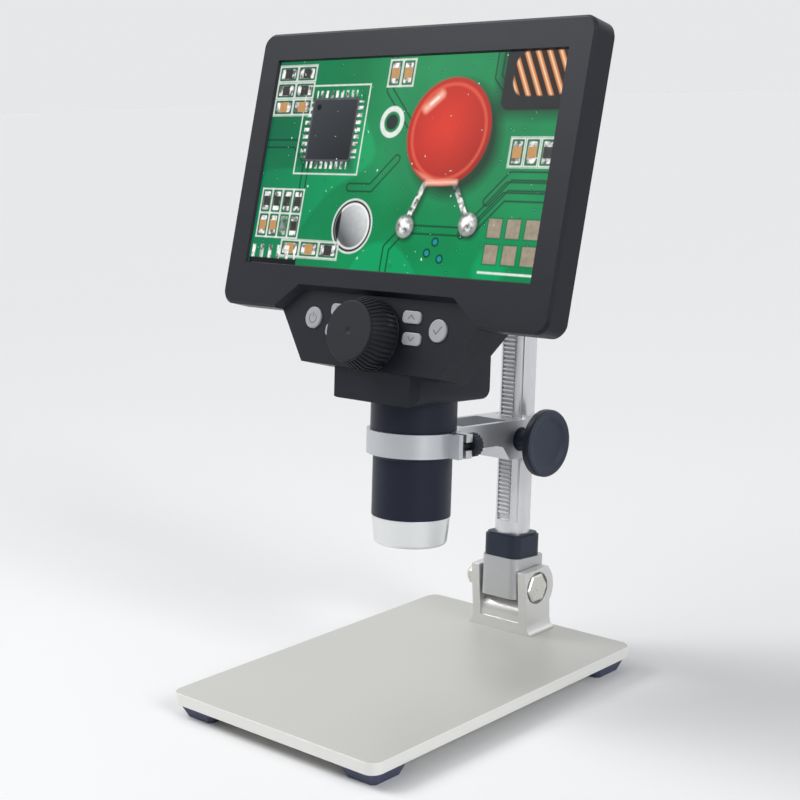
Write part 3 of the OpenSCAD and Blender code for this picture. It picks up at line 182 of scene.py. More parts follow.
class Finish(NodeBench):
    # the material of one surface
    def __init__(self, name):
        self.material = bpy.data.materials.new(name)
        self.material.use_nodes = True
        super().__init__(self.material.node_tree)
        self.spot = self.add("ShaderNodeTexCoord", out="Object")

    def noise(self, grains, detail=2, spot=None):
        # grains: how many per metre; the value is around 0.5
        sockets = {"Vector": spot or self.spot, "Scale": grains, "Detail": detail}
        return self.add("ShaderNodeTexNoise", {}, sockets, out="Fac")

    def turned(self, turn=(0, 0, 0), stretch=(1, 1, 1)):
        return self.add("ShaderNodeMapping", {}, {"Vector": self.spot, "Rotation": turn, "Scale": stretch})

    def use(self, colour, roughness, metallic=0.0, height=None, depth=0.02, more=None):
        # depth: how far the bump stands out, in mm
        sockets = {"Base Color": colour, "Roughness": roughness, "Metallic": metallic, **(more or {})}
        if height is not None:
            bump = {"Height": height, "Distance": depth * mm, "Strength": 1.0}
            sockets["Normal"] = self.add("ShaderNodeBump", {}, bump, out="Normal")
        shader = self.add("ShaderNodeBsdfPrincipled", {}, sockets)
        self.add("ShaderNodeOutputMaterial", {}, {"Surface": shader}, out=None)
        return self.material


def shade(colour, amount):
    return (*[max(0.0, part * amount) for part in colour[:3]], 1)


def mouldedPlastic(name, colour, roughness, grain=1500, depth=0.03, spread=0.16):
    # a moulded part: fine spark-eroded grain and faint handling marks
    finish = Finish(name)
    colour = paint(*colour)
    cloud = finish.noise(22, 4)
    fine = finish.noise(grain, 3)
    smear = finish.noise(70, 5, finish.turned(stretch=(1, 0.35, 1.6)))
    tint = finish.blend(cloud, shade(colour, 1 - spread), shade(colour, 1 + spread))
    tint = finish.blend(fine * 0.35, tint, shade(colour, 1.5))
    rough = roughness + (fine - 0.5) * 0.16 + (smear - 0.5) * 0.14
    return finish.use(tint, rough, height=fine, depth=depth, more={"Specular IOR Level": 0.2})


def satinMetal(name, colour, roughness=0.34, metallic=0.75, grain=900, turn=(0, 0, 0), stretch=(1, 1, 1),
               depth=0.02, spread=0.07, lines=1.0):
    # blasted, drawn or turned metal: the stretch gives the lines their direction
    finish = Finish(name)
    colour = paint(*colour)
    drawn = finish.noise(grain, 4, finish.turned(turn, stretch))
    cloud = finish.noise(26, 3)
    tint = finish.blend(cloud, shade(colour, 1 - spread), shade(colour, 1 + spread * 0.6))
    tint = finish.blend(drawn * (0.3 * lines), tint, shade(colour, 0.86))
    rough = roughness + (drawn - 0.5) * (0.18 * lines) + (cloud - 0.5) * 0.08
    return finish.use(tint, rough, metallic, height=drawn, depth=depth)


def clearGlass(name, colour, alpha):
    # lenses and the window in the tip
    finish = Finish(name)
    colour = paint(*colour)
    haze = finish.noise(160, 3)
    tint = finish.blend(haze, shade(colour, 0.94), colour)
    return finish.use(tint, 0.05 + haze * 0.06, height=haze, depth=0.004, more={"Alpha": alpha, "IOR": 1.5})


def circuitBoard(name):
    # the green boards inside the head
    finish = Finish(name)
    cloud = finish.noise(60, 3)
    lines = finish.noise(320, 1, finish.turned(stretch=(1, 0.2, 0.2)))
    track = ((lines - 0.52) * 30).clip()
    tint = finish.blend(cloud, paint(12, 84, 52), paint(16, 100, 62))
    tint = finish.blend(track * 0.5, tint, paint(40, 140, 84))
    return finish.use(tint, 0.34 + cloud * 0.1, height=track, depth=0.03)


# shapes drawn on the screen's plane, in millimetres: each is a distance, below zero inside
def onScreen(finish):
    # u to the right and v up over the screen's face, from the picture's middle
    x, y, z = finish.parts(finish.spot)
    return x * 1000, (y * screenUp.y + z * screenUp.z - screenMiddle.dot(screenUp)) * 1000


def boxAt(u, v, middle, size, turn=0.0, soft=0.0):
    across, upward = u - middle[0], v - middle[1]
    if turn:
        cosine, sine = math.cos(math.radians(turn)), math.sin(math.radians(turn))
        across, upward = across * cosine + upward * sine, upward * cosine - across * sine
    across = abs(across) - (size[0] / 2 - soft)
    upward = abs(upward) - (size[1] / 2 - soft)
    if not soft:
        return across.most(upward)
    outer = across.most(0) * across.most(0) + upward.most(0) * upward.most(0)
    return outer.root() + across.most(upward).least(0) - soft


def discAt(u, v, middle, radius):
    across, upward = u - middle[0], v - middle[1]
    return (across * across + upward * upward).root() - radius


def strokeAt(u, v, start, end, width):
    long, high = end[0] - start[0], end[1] - start[1]
    across, upward = u - start[0], v - start[1]
    share = ((across * long + upward * high) / (long * long + high * high)).clip()
    across, upward = across - share * long, upward - share * high
    return (across * across + upward * upward).root() - width / 2


def lineAt(u, v, spots, width):
    # a bent line through several spots
    line = None
    for start, end in zip(spots, spots[1:]):
        stroke = strokeAt(u, v, start, end, width)
        line = stroke if line is None else line.least(stroke)
    return line


layout = {                                 # places on the picture, in mm from its middle
    "tracks": (
        ((-77, 8), (-60, 8), (-52, 0), (-52, -14)), ((-10, 43), (-10, 30), (4, 16)),
        ((77, -12), (58, -12), (44, -26), (10, -26), (2, -34), (2, -43)), ((77, -4), (60, -4), (50, -14)),
        ((77, -8), (59, -8), (40, -27)), ((-24, -10), (-12, -10), (0, 2)), ((46, 43), (46, 34), (54, 26))),
    "inductor": (66, 34), "chip": (-40, 14), "disc": (25, 13), "discRadius": 21.5,
    "leads": (((17, -8), (10, -24)), ((33, -8), (42, -22))), "solder": ((10, -25), (42.5, -23)),
    "can": (-19, -26), "canRadius": 9.6, "padColumns": (56, 65, 74), "padRows": (-24, -34),
    "hole": (-6, 17), "vias": ((31, -37), (24, -35), (27.5, -30.5)),
}
partFields = (                             # middle, count, pitch, body, upright, share left out
    ((-63, -22), (4, 2), (6.4, 10.4), (8.0, 3.8), True, 0.12),
    ((-66, 31), (2, 3), (11.4, 7.2), (8.6, 4.2), False, 0.1),
    ((-42, -36.6), (3, 1), (11.4, 7.4), (8.6, 4.4), False, -1.0),
    ((68, 5), (3, 1), (7.2, 11.4), (8.4, 4.2), True, -1.0),
    ((-5, 37), (2, 1), (7.0, 11.0), (8.4, 4.2), True, -1.0),
)


def moved(spot, across, upward):
    return spot[0] + across, spot[1] + upward


class BoardPicture(Finish):
    # what the screen shows: a magnified circuit board of a made-up layout, each part drawn over the last
    def __init__(self, name):
        super().__init__(name)
        self.u, self.v = onScreen(self)
        self.cloud = self.noise(34, 3)
        self.speck = self.noise(420, 3)
        self.picture = self.blend(self.cloud, paint(0, 112, 62), paint(2, 158, 94))
        sparkle = ((self.speck - 0.5) * 5 + 0.5).clip()
        self.tin = self.blend(sparkle, paint(96, 98, 96), paint(255, 255, 252))
        self.white = self.blend(self.speck, paint(196, 208, 200), paint(252, 255, 250))
        self.deep = paint(0, 74, 48)

    def box(self, middle, size, soft=0.0, turn=0.0):
        return boxAt(self.u, self.v, middle, size, turn, soft)

    def disc(self, middle, radius):
        return discAt(self.u, self.v, middle, radius)

    def line(self, spots, width):
        return lineAt(self.u, self.v, spots, width)

    def over(self, distance, colour, soft=0.5):
        self.picture = self.blend(distance.inside(soft), self.picture, colour)

    def cast(self, distance, reach=2.4, share=0.6):
        # a soft shadow on what is drawn so far
        self.picture = self.blend(distance.inside(reach) * share, self.picture, paint(0, 26, 22))

    def tracks(self):
        # a copper pour and dark tracks, with a shade towards the left edge
        pour = ((self.noise(22, 0) - 0.56) * 40).clip()
        self.picture = self.blend(pour * 0.5, self.picture, paint(0, 176, 108))
        for spots in layout["tracks"]:
            self.over(abs(self.line(spots, 3.2)) - 0.36, self.deep, 0.6)
        self.picture = self.blend(((self.u + 20) / -70).clip() * 0.55, self.picture, paint(0, 52, 58))

    def scatteredVias(self):
        flat = self.add("ShaderNodeCombineXYZ", {}, {"X": self.u, "Y": self.v})
        sockets = {"Vector": flat, "Scale": 0.085}
        dots = self.add("ShaderNodeTexVoronoi", {"voronoi_dimensions": "2D"}, sockets)
        self.over(dots * 12 - 0.62, self.deep, 0.3)
        self.over(dots * 12 - 0.3, paint(70, 196, 160), 0.3)

    def inductor(self):
        # a dark body with copper turns in its window
        middle = layout["inductor"]
        self.cast(self.box(moved(middle, -2, -2), (36, 28), 4), 5)
        body = self.blend(self.cloud, paint(10, 11, 13), paint(40, 42, 46))
        self.over(self.box(middle, (34, 26), 4), body, 0.8)
        turns = ((self.u * 0.9 + self.v * 0.5) * 1.3).wave()
        copper = self.blend((turns * 1.4 + 0.4).clip(), paint(34, 16, 10), paint(214, 136, 78))
        copper = self.blend((turns * 3 - 2.3).clip(), copper, paint(255, 226, 190))
        self.over(self.box(moved(middle, 1, 1), (27, 17), 6), copper, 0.8)

    def chip(self):
        # a square chip with legs on four sides, inside a white frame
        middle = layout["chip"]
        self.over(abs(self.box(middle, (37.5, 37.5))) - 0.34, self.white, 0.4)
        self.cast(self.box(moved(middle, 1, -2), (28, 29)), 6, 0.75)
        for size, along in (((24, 33), self.u - middle[0]), ((33, 24), self.v - middle[1])):
            legs = ((along / 3.0).calc("PINGPONG", 0.5) - 0.25) * 3
            self.over(self.box(middle, size).most(legs), self.tin, 0.4)
        body = self.blend(((self.u - self.v + 80) / 56).clip(), paint(62, 66, 72), paint(22, 24, 28))
        self.over(self.box(middle, (27, 27), 1), body, 0.6)
        self.over(abs(self.box(middle, (26, 26), 1)) - 0.25, paint(96, 100, 106), 0.7)
        self.over(self.disc(moved(middle, -9.5, 9.5), 1.3), paint(14, 15, 17), 0.5)

    def leads(self):
        # the capacitor's two bent leads, each in its own heap of solder
        for spots in layout["leads"]:
            self.cast(self.line([moved(spot, 1.6, -1.4) for spot in spots], 2.6), 2.2)
            self.over(self.line(spots, 2.4), self.tin, 0.5)
        heap = self.blend(self.speck, paint(60, 66, 62), paint(196, 204, 198))
        for spot in layout["solder"]:
            self.cast(self.disc(moved(spot, 0.8, -0.8), 5.0), 2.4, 0.8)
            self.over(self.disc(spot, 4.6), heap, 0.8)
            self.over(self.disc(moved(spot, -0.3, 0.6), 3.2), self.tin, 1.4)
            self.over(self.disc(moved(spot, -1, 1.4), 1.5), paint(255, 255, 255), 1.0)

    def capacitor(self):
        # a big red disc with its glints
        middle, radius = layout["disc"], layout["discRadius"]
        self.cast(self.disc(moved(middle, 4, -3), radius + 1), 6, 0.85)
        rim = self.disc(middle, radius)
        red = self.blend(((rim + 20) / 20).clip(), paint(222, 46, 22), paint(184, 28, 12))
        red = self.blend(((self.u - self.v - 12) / 40 + 0.2).clip() * 0.45, red, paint(120, 10, 6))
        red = self.blend((self.cloud - 0.3) * 0.25, red, paint(244, 84, 52))
        self.over(rim, red, 0.9)
        self.over(abs(self.disc(middle, radius - 2.7)) - 0.4, paint(238, 96, 68), 1.6)
        upper = self.v + 0.35 * self.u - 1
        self.over((abs(self.disc(middle, radius - 1.9)) - 0.7).most(upper), paint(255, 170, 148), 2.2)
        self.over(self.box((15, 25), (12, 3.0), 1.4, 38), paint(255, 184, 160), 2.4)
        self.over(self.line(((13.5, 24), (17, 26.6)), 0.9), paint(255, 244, 236), 1.0)
        self.over(self.line(((18, -7.4), (33, -6.8)), 1.7), paint(255, 190, 166), 1.6)

    def can(self):
        # a metal can with its dark mark
        middle, radius = layout["can"], layout["canRadius"]
        self.over(self.disc(middle, radius + 1.8), self.white, 0.5)
        self.over(self.disc(middle, radius + 1), paint(10, 22, 18), 0.6)
        metal = self.blend(((self.u + self.v + 54) / 22).clip(), paint(84, 88, 92), paint(244, 246, 248))
        self.over(self.disc(middle, radius), self.blend(self.speck * 0.4, metal, paint(120, 124, 126)), 0.6)
        self.over(abs(self.disc(middle, radius - 0.4)) - 0.3, paint(255, 255, 255), 0.8)
        self.over(self.disc(middle, radius).most(self.u - middle[0] + 7), paint(24, 26, 30), 0.6)

    def partField(self, middle, count, pitch, body, upright, spare):
        # rows of small chips in white frames, each with its chance of a tan body or of being left out
        across = (self.u - middle[0]) / pitch[0] + count[0] / 2
        upward = (self.v - middle[1]) / pitch[1] + count[1] / 2
        cell = self.add("ShaderNodeCombineXYZ", {}, {"X": across.calc("FLOOR"), "Y": upward.calc("FLOOR")})
        chance = self.add("ShaderNodeTexWhiteNoise", {"noise_dimensions": "2D"}, {"Vector": cell})
        x = (across.calc("FRACT") - 0.5) * pitch[0]
        y = (upward.calc("FRACT") - 0.5) * pitch[1]
        edge = self.box(middle, (count[0] * pitch[0], count[1] * pitch[1])).most((spare - chance) * 9)
        long, short = (body[1], body[0]) if upright else body
        whole = boxAt(x, y, (0, 0), (long, short), 0, 0.5)
        core = boxAt(x, y, (0, 0), (long, short * 0.52) if upright else (long * 0.52, short))
        border = abs(boxAt(x, y, (0, 0), (long + 2.2, short + 2.2)))
        self.over(border.most(edge) - 0.32, self.white, 0.4)
        self.cast((whole - 0.5).most(edge), 1.8, 0.7)
        self.over(whole.most(edge), self.tin, 0.4)
        stone = self.blend((chance - 0.72) * 50, paint(30, 32, 34), paint(216, 160, 92))
        self.over(core.most(edge), self.blend(self.speck * 0.5, stone, paint(96, 96, 92)), 0.4)

    def pads(self):
        # bare pads in two rows, with a line under them
        dull = self.blend(self.speck, paint(128, 116, 98), paint(184, 170, 152))
        for high in layout["padRows"]:
            for along in layout["padColumns"]:
                self.over(self.box((along, high), (6.8, 7.6)) - 0.3, paint(20, 110, 72), 0.6)
                self.over(self.box((along, high), (6.4, 7.2)), dull, 0.4)
        self.over(self.box((65, -41), (28, 0.9)), self.white, 0.4)

    def pins(self):
        # a row of pins that leaves the picture at the lower left
        pins = (((self.u + 60) / 5.2).calc("PINGPONG", 0.5) - 0.2) * 5.2
        self.over(self.box((-63, -39), (27, 6.6)).most(pins), self.tin, 0.5)
        self.over(self.box((-63, -42.6), (29, 2.6)), paint(16, 18, 20), 0.6)

    def holes(self):
        # a plated hole with its white ring, and three small ones
        middle = layout["hole"]
        self.over(abs(self.disc(middle, 5.4)) - 1.1, self.white, 0.5)
        self.over(self.disc(middle, 3.2), self.blend(self.cloud, paint(4, 12, 12), paint(40, 54, 50)), 0.8)
        for spot in layout["vias"]:
            self.over(self.disc(spot, 1.9), self.deep, 0.5)
            self.over(self.disc(spot, 1.1), paint(20, 150, 160), 0.5)

    def glints(self):
        self.over((self.speck - 0.735) * -40, paint(214, 255, 236), 1.0)


def screenPicture(name):
    board = BoardPicture(name)
    for draw in (board.tracks, board.scatteredVias, board.inductor, board.chip, board.leads, board.capacitor,
                 board.can):
        draw()
    for field in partFields:
        board.partField(*field)
    for draw in (board.pads, board.pins, board.holes, board.glints):
        draw()
    return board.use(paint(10, 11, 12), 0.16 + board.speck * 0.04, more={
        "Emission Color": board.picture, "Emission Strength": 1.0, "Specular IOR Level": 0.12})


headBottom = -62.35                        # the head's lower edge, in mm from the picture's middle
upperRow, lowerRow, endRow = headBottom + 2.1, headBottom - 6.4, headBottom - 2.1
buttonPlaces = {
    "power_button": (-34.5, endRow), "ok_button": (34.5, endRow), "menu_button": (-20, upperRow),
    "mode_button": (-21.5, lowerRow), "up_button": (20, upperRow), "down_button": (21.5, lowerRow),
}


def buttonIcon(node, u, v):
    # what is printed on a button's cap, around the cap's own middle
    if node == "power_button":
        ring = abs(discAt(u, v, (0, -0.2), 2.0)) - 0.22
        gap = boxAt(u, v, (0, 1.8), (1.5, 2.0))
        return ring.most(0.5 - gap).least(strokeAt(u, v, (0, 0.4), (0, 2.2), 0.44))
    if node == "menu_button":
        bars = [boxAt(u, v, (0, high), (3.6, 0.4)) for high in (1.1, 0, -1.1)]
        return bars[0].least(bars[1]).least(bars[2])
    if node == "mode_button":
        return (abs(boxAt(u, v, (0, 0), (3.8, 2.5))) - 0.2).least(abs(discAt(u, v, (0, 0), 0.7)) - 0.18)
    if node == "ok_button":
        return lineAt(u, v, ((-1.9, 0.1), (-0.5, -1.4), (2.0, 1.7)), 0.55)
    side = 1 if node == "up_button" else -1
    return lineAt(u, v, ((-1.5, -0.7 * side), (0, 0.8 * side), (1.5, -0.7 * side)), 0.5)


def buttonFinish(node):
    # moulded grey cap with a worn print
    finish = Finish(node + "Finish")
    u, v = onScreen(finish)
    place = buttonPlaces[node]
    cloud = finish.noise(90, 3)
    fine = finish.noise(1600, 3)
    printed = buttonIcon(node, u - place[0], v - place[1]).inside(0.25) * (0.55 + cloud * 0.5)
    plain = finish.blend(cloud, paint(150, 151, 156), paint(168, 169, 173))
    tint = finish.blend(printed.clip(), plain, paint(70, 72, 80))
    return finish.use(tint, 0.42 + (fine - 0.5) * 0.14, height=fine - printed * 0.6)


alongMast = (mastLean, 0, 0)
turnedLines = (0.012, 0.012, 1)            # squeezed across the axis, so that the grain runs round it
metals = {
    "stagePaint": dict(colour=(197, 197, 192), roughness=0.42, metallic=0.35, grain=1300, spread=0.03),
    # the plate's sides: brushed lines, and painted lighter than the top as a painted highlight
    "stageSideHighlight": dict(colour=(236, 236, 232), roughness=0.42, metallic=0.2, stretch=(0.2, 0.2, 1),
                      spread=0.03),
    "castSilver": dict(colour=(214, 214, 212), metallic=0.55, grain=1500, spread=0.04),
    # the tilt block: a darker copy of the cast silver, as painted shade
    "blockSilverShade": dict(colour=(188, 189, 190), roughness=0.38, metallic=0.55, grain=1500, depth=0.03,
                        spread=0.04),
    "columnMetal": dict(colour=(218, 219, 222), roughness=0.25, metallic=0.7, grain=1600, turn=alongMast,
                        stretch=(1, 1, 0.008), depth=0.0004, spread=0.03, lines=0.25),
    "rackMetal": dict(colour=(214, 215, 217), roughness=0.5, metallic=0.25, grain=1500, depth=0.004,
                      spread=0.03, lines=0.3),
    "armMetal": dict(colour=(198, 200, 204), metallic=0.8, grain=1600, turn=alongMast, stretch=turnedLines,
                     depth=0.0005, spread=0.03, lines=0.3),
    "tipMetal": dict(colour=(230, 232, 232), roughness=0.3, grain=1600, turn=alongMast, stretch=turnedLines,
                     depth=0.0005, spread=0.03, lines=0.3),
    "hingeSteel": dict(colour=(214, 213, 205), roughness=0.3, metallic=0.6, grain=1400, depth=0.01),
    "zincSteel": dict(colour=(170, 172, 174), metallic=0.95, grain=1400),
    "blackSteel": dict(colour=(48, 49, 54), roughness=0.4, metallic=0.6, grain=1400, spread=0.15),
}
plastics = {
    "shellPlastic": dict(colour=(26, 28, 35), roughness=0.4),
    "neckPlastic": dict(colour=(29, 31, 39), roughness=0.44),
    "bluePlastic": dict(colour=(42, 47, 60), roughness=0.42),
    "knobPlastic": dict(colour=(28, 32, 42), roughness=0.4),
    # the knob's front face: finer grain and rougher, and painted lighter than the rim as a painted highlight
    "knobFaceSheen": dict(colour=(48, 54, 66), roughness=0.5, grain=2200, depth=0.05),
    "barrelPaint": dict(colour=(29, 32, 47), roughness=0.38, grain=1700, spread=0.1),
    "dialRubber": dict(colour=(30, 31, 36), roughness=0.56, grain=1200, depth=0.04),
    "footRubber": dict(colour=(74, 78, 98), roughness=0.66, grain=900, depth=0.06),
    "linerPlastic": dict(colour=(226, 224, 216), roughness=0.4, spread=0.04),
    "lampWhite": dict(colour=(246, 240, 210), roughness=0.3, spread=0.04),
    "cellFilm": dict(colour=(70, 116, 168), roughness=0.3, grain=600, spread=0.1),
}
finishes = {name: satinMetal(name, **values) for name, values in metals.items()}
finishes.update({name: mouldedPlastic(name, **values) for name, values in plastics.items()})
finishes["clearGlass"] = clearGlass("clearGlass", (222, 232, 240), alpha=0.35)
finishes["boardGreen"] = circuitBoard("boardGreen")
finishes["screenPicture"] = screenPicture("screenPicture")
finishes.update({node: buttonFinish(node) for node in buttonPlaces})
print("finishes: %d" % len(finishes))

nodeFinish = {
    "base_plate": "stagePaint", "rubber_feet": "footRubber", "foot_screws": "zincSteel",
    "stand_yoke": "castSilver", "yoke_screws": "zincSteel", "hinge_bolt": "hingeSteel",
    # the tilt block takes the darker silver, a painted shade
    "hinge_nut": "hingeSteel", "hinge_washers": "linerPlastic", "tilt_block": "blockSilverShade",
    "mast_collar": "bluePlastic", "mast_column": "columnMetal", "column_screw": "blackSteel",
    "column_cap": "bluePlastic", "carriage_arm": "armMetal", "column_liner": "linerPlastic",
    "shaft_bush": "bluePlastic", "pinion_shaft": "zincSteel", "height_knob": "knobPlastic",
    "knob_screw": "blackSteel", "clamp_screw": "blackSteel", "clamp_knob": "knobPlastic",
    "front_shell": "shellPlastic", "rear_shell": "shellPlastic", "neck_housing": "neckPlastic",
    "neck_screws": "zincSteel", "barrel": "barrelPaint", "barrel_nut": "barrelPaint",
    "lens_tip": "tipMetal", "tip_window": "clearGlass", "led_board": "linerPlastic",
    "ring_leds": "lampWhite", "lens_tube": "barrelPaint", "front_lens": "clearGlass",
    "rear_lens": "clearGlass", "lens_ring": "bluePlastic", "sensor_board": "boardGreen",
    "sensor_screws": "zincSteel", "lcd_panel": "screenPicture", "lcd_backlight": "armMetal",
    "main_board": "boardGreen", "board_screws": "zincSteel", "battery_pack": "cellFilm",
    "battery_door": "shellPlastic", "door_screws": "blackSteel", "button_board": "boardGreen",
    "button_screws": "zincSteel", "charging_port": "zincSteel", "card_slot": "zincSteel",
    "shell_screws": "blackSteel", "focus_dial": "dialRubber", "dial_shaft": "zincSteel",
}
nodeFinish.update({node: node for node in buttonPlaces})


def dress(piece, name):
    piece.data.materials.clear()
    piece.data.materials.append(finishes[name])


for name, finish in nodeFinish.items():
    dress(nodes[name], finish)


def only(piece):
    bpy.ops.object.select_all(action="DESELECT")
    piece.select_set(True)
    bpy.context.view_layer.objects.active = piece


def smoothed(piece, angle):
    # round edges shade smoothly and flat faces stay flat
    bpy.ops.object.shade_smooth_by_angle(angle=math.radians(angle))
    even = piece.modifiers.new("evenNormals", "WEIGHTED_NORMAL")
    even.keep_sharp = True
    even.weight = 100
    bpy.ops.object.modifier_apply(modifier=even.name)


def breakEdges(piece, width, steps, sharp, corner="MITER_SHARP"):
    # a small round on each edge that turns by more than the sharp angle
    bevel = piece.modifiers.new("brokenEdge", "BEVEL")
    bevel.width = width * mm
    bevel.segments = steps
    bevel.limit_method = "ANGLE"
    bevel.angle_limit = math.radians(sharp)
    bevel.miter_outer = corner
    bpy.ops.object.modifier_apply(modifier=bevel.name)


def handOver(piece, node):
    # the piece takes the place of its node and moves with the node's body
    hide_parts(node)
    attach(piece, bodyOf[node])
    print("%s: %d faces" % (piece.name, len(piece.data.polygons)))


softEdge = {"merge": 0.002, "flat": 0.6, "sharp": 28, "smooth": 32}        # mm, then degrees
slottedNodes = ("rear_shell", "front_shell", "neck_housing", "carriage_arm", "battery_door")


def softened(node, width, steps=2):
    # a copy of a machined or moulded node with its edges broken, as a real one has them
    source = nodes[node]
    piece = source.copy()
    piece.data = source.data.copy()
    piece.name = "soft_" + node
    bpy.context.collection.objects.link(piece)
    piece.parent = None
    piece.matrix_world = Matrix.Identity(4)
    only(piece)
    bpy.ops.object.mode_set(mode="EDIT")
    bpy.ops.mesh.select_all(action="SELECT")
    bpy.ops.mesh.remove_doubles(threshold=softEdge["merge"] * mm)
    flat = math.radians(softEdge["flat"])
    if node in slottedNodes:               # a face with slots in it can't be one polygon
        bpy.ops.mesh.tris_convert_to_quads(face_threshold=flat, shape_threshold=math.radians(179))
    else:
        bpy.ops.mesh.dissolve_limited(angle_limit=flat)
    bpy.ops.mesh.select_all(action="DESELECT")
    bpy.ops.object.mode_set(mode="OBJECT")
    dress(piece, nodeFinish[node])
    breakEdges(piece, width, steps, softEdge["sharp"], "MITER_ARC")
    smoothed(piece, softEdge["smooth"])
    handOver(piece, node)
    return piece


def recoat(piece, name, wanted):
    # gives the faces that pass a test of their middle and normal a finish of their own
    piece.data.materials.append(finishes[name])
    for face in piece.data.polygons:
        if wanted(face.center, face.normal):
            face.material_index = len(piece.data.materials) - 1


softWidths = {
    "stand_yoke": 0.5, "tilt_block": 0.8, "mast_collar": 0.3, "carriage_arm": 0.35, "mast_column": 0.12,
    "barrel": 0.25, "front_shell": 0.5, "rear_shell": 0.5, "neck_housing": 0.5, "hinge_nut": 0.3,
    "rubber_feet": 0.8, "lens_tip": 0.2, "battery_door": 0.3, "column_cap": 0.3,
}
for node, width in softWidths.items():
    softened(node, width)
plate = softened("base_plate", width=0.7, steps=3)
# the plate's side faces take the lighter finish, a painted highlight
recoat(plate, "stageSideHighlight", lambda middle, normal: abs(normal.z) < 0.4)
mastInside = mastPlace.inverted()
rack = {"low": 29.6, "high": 185.9, "half": 3.75, "front": -7.76, "bed": -5.3}       # mm, in the mast's frame


def onRack(middle, normal):
    spot = mastInside @ middle / mm
    return (abs(spot.x) < rack["half"] and rack["front"] < spot.y < rack["bed"]
            and rack["low"] < spot.z < rack["high"])


recoat(bpy.data.objects["soft_mast_column"], "rackMetal", onRack)
print("softened: %d pieces" % (len(softWidths) + 1))


# pieces modelled by hand
def lathe(name, rings, sides):
    # a turned piece: a disc that is extruded and scaled from ring to ring, each a radius and a height in mm
    radius, height = rings[0]
    bpy.ops.object.select_all(action="DESELECT")
    bpy.ops.mesh.primitive_circle_add(vertices=sides, radius=radius * mm, fill_type="NGON",
                                      location=(0, 0, 0))
    piece = bpy.context.active_object
    piece.name = name
    bpy.ops.object.mode_set(mode="EDIT")
    bpy.ops.mesh.select_all(action="SELECT")
    bpy.ops.transform.translate(value=(0, 0, height * mm))
    for nextRadius, nextHeight in rings[1:]:
        bpy.ops.mesh.extrude_region_move(TRANSFORM_OT_translate={"value": (0, 0, (nextHeight - height) * mm)})
        factor = nextRadius / radius
        bpy.ops.transform.resize(value=(factor, factor, 1), center_override=(0, 0, 0))
        radius, height = nextRadius, nextHeight
    bpy.ops.object.mode_set(mode="OBJECT")
    return piece


def pick(piece, wanted):
    # selects the faces that pass a test of their middle and normal, and stays in edit mode
    bpy.ops.object.mode_set(mode="EDIT")
    bpy.ops.mesh.select_mode(type="FACE")
    bpy.ops.mesh.select_all(action="DESELECT")
    bpy.ops.object.mode_set(mode="OBJECT")
    for face in piece.data.polygons:
        face.select = wanted(face.center, face.normal)
    bpy.ops.object.mode_set(mode="EDIT")


hair = 0.02                                # mm, keeps a choice of faces off the rings beside them


def ribbed(piece, sides, low, high, factor):
    # every second strip of the side stands out as a rib
    def inStrip(middle, normal):
        strip = math.floor(math.atan2(middle.y, middle.x) / (2 * math.pi / sides))
        between = (low + hair) * mm < middle.z < (high - hair) * mm
        return strip % 2 == 0 and between and abs(normal.z) < 0.8
    pick(piece, inStrip)
    bpy.ops.mesh.extrude_region_move(TRANSFORM_OT_translate={"value": (0, 0, 0)})
    bpy.ops.transform.resize(value=(factor, factor, 1), center_override=(0, 0, 0))
    bpy.ops.object.mode_set(mode="OBJECT")


def settled(piece, node, place, width, smooth=40):
    # puts a finished piece at its place, with its normals outwards and its edges broken
    only(piece)
    bpy.ops.object.mode_set(mode="EDIT")
    bpy.ops.mesh.select_all(action="SELECT")
    bpy.ops.mesh.remove_doubles(threshold=0.001 * mm)
    bpy.ops.mesh.normals_make_consistent(inside=False)
    bpy.ops.mesh.select_all(action="DESELECT")
    bpy.ops.object.mode_set(mode="OBJECT")
    breakEdges(piece, width, steps=2, sharp=30)
    piece.matrix_world = place
    bpy.ops.object.transform_apply(location=True, rotation=True, scale=True)
    smoothed(piece, smooth)
    dress(piece, nodeFinish[node])
    handOver(piece, node)


dial = {
    "face": 12.1, "foot": 14.7, "ribs": 44, "ribHeight": 0.6, "low": -2.3, "flange": 1.0, "flare": 6.8,
    "lip": 1.1, "proud": 11.4, "rim": 0.35, "dimple": ((1.7, 0), (1.2, 0.22), (0.3, 0.3)), "edge": 0.14,
}


def focusDial():
    # ribs on a cone between the flange at the foot and the lip at the face
    foot, face, low, proud = dial["foot"], dial["face"], dial["low"], dial["proud"]
    core, neck = foot - dial["ribHeight"], face - dial["ribHeight"]
    flange, knee, lip = low + dial["flange"], proud - dial["flare"], proud - dial["lip"]
    piece = lathe("ribbedDial", [
        (foot, low), (foot, flange), (core, flange), (core, knee), (neck, lip), (face, lip),
        (face, proud - dial["rim"]), (face - dial["rim"], proud),
        *[(radius, proud - deep) for radius, deep in dial["dimple"]]], 2 * dial["ribs"])
    ribbed(piece, 2 * dial["ribs"], flange, lip, foot / core)
    settled(piece, "focus_dial", screenPlace @ Matrix.Translation((0, -dialDrop, 0)), dial["edge"])


focusDial()

knob = {
    "hubLow": 16.6, "hub": 3.9, "hubTop": 22.0, "back": 22.6, "radius": 14.6, "front": 27.6, "round": 1.2,
    "dish": ((0.77, 0.4), (0.67, 1.5), (0.6, 1.75), (0.3, 1.9)),          # share of the radius, depth
    "centre": (0.5, 1.9), "sides": 128, "edge": 0.18, "faceDepth": 2.5,
}


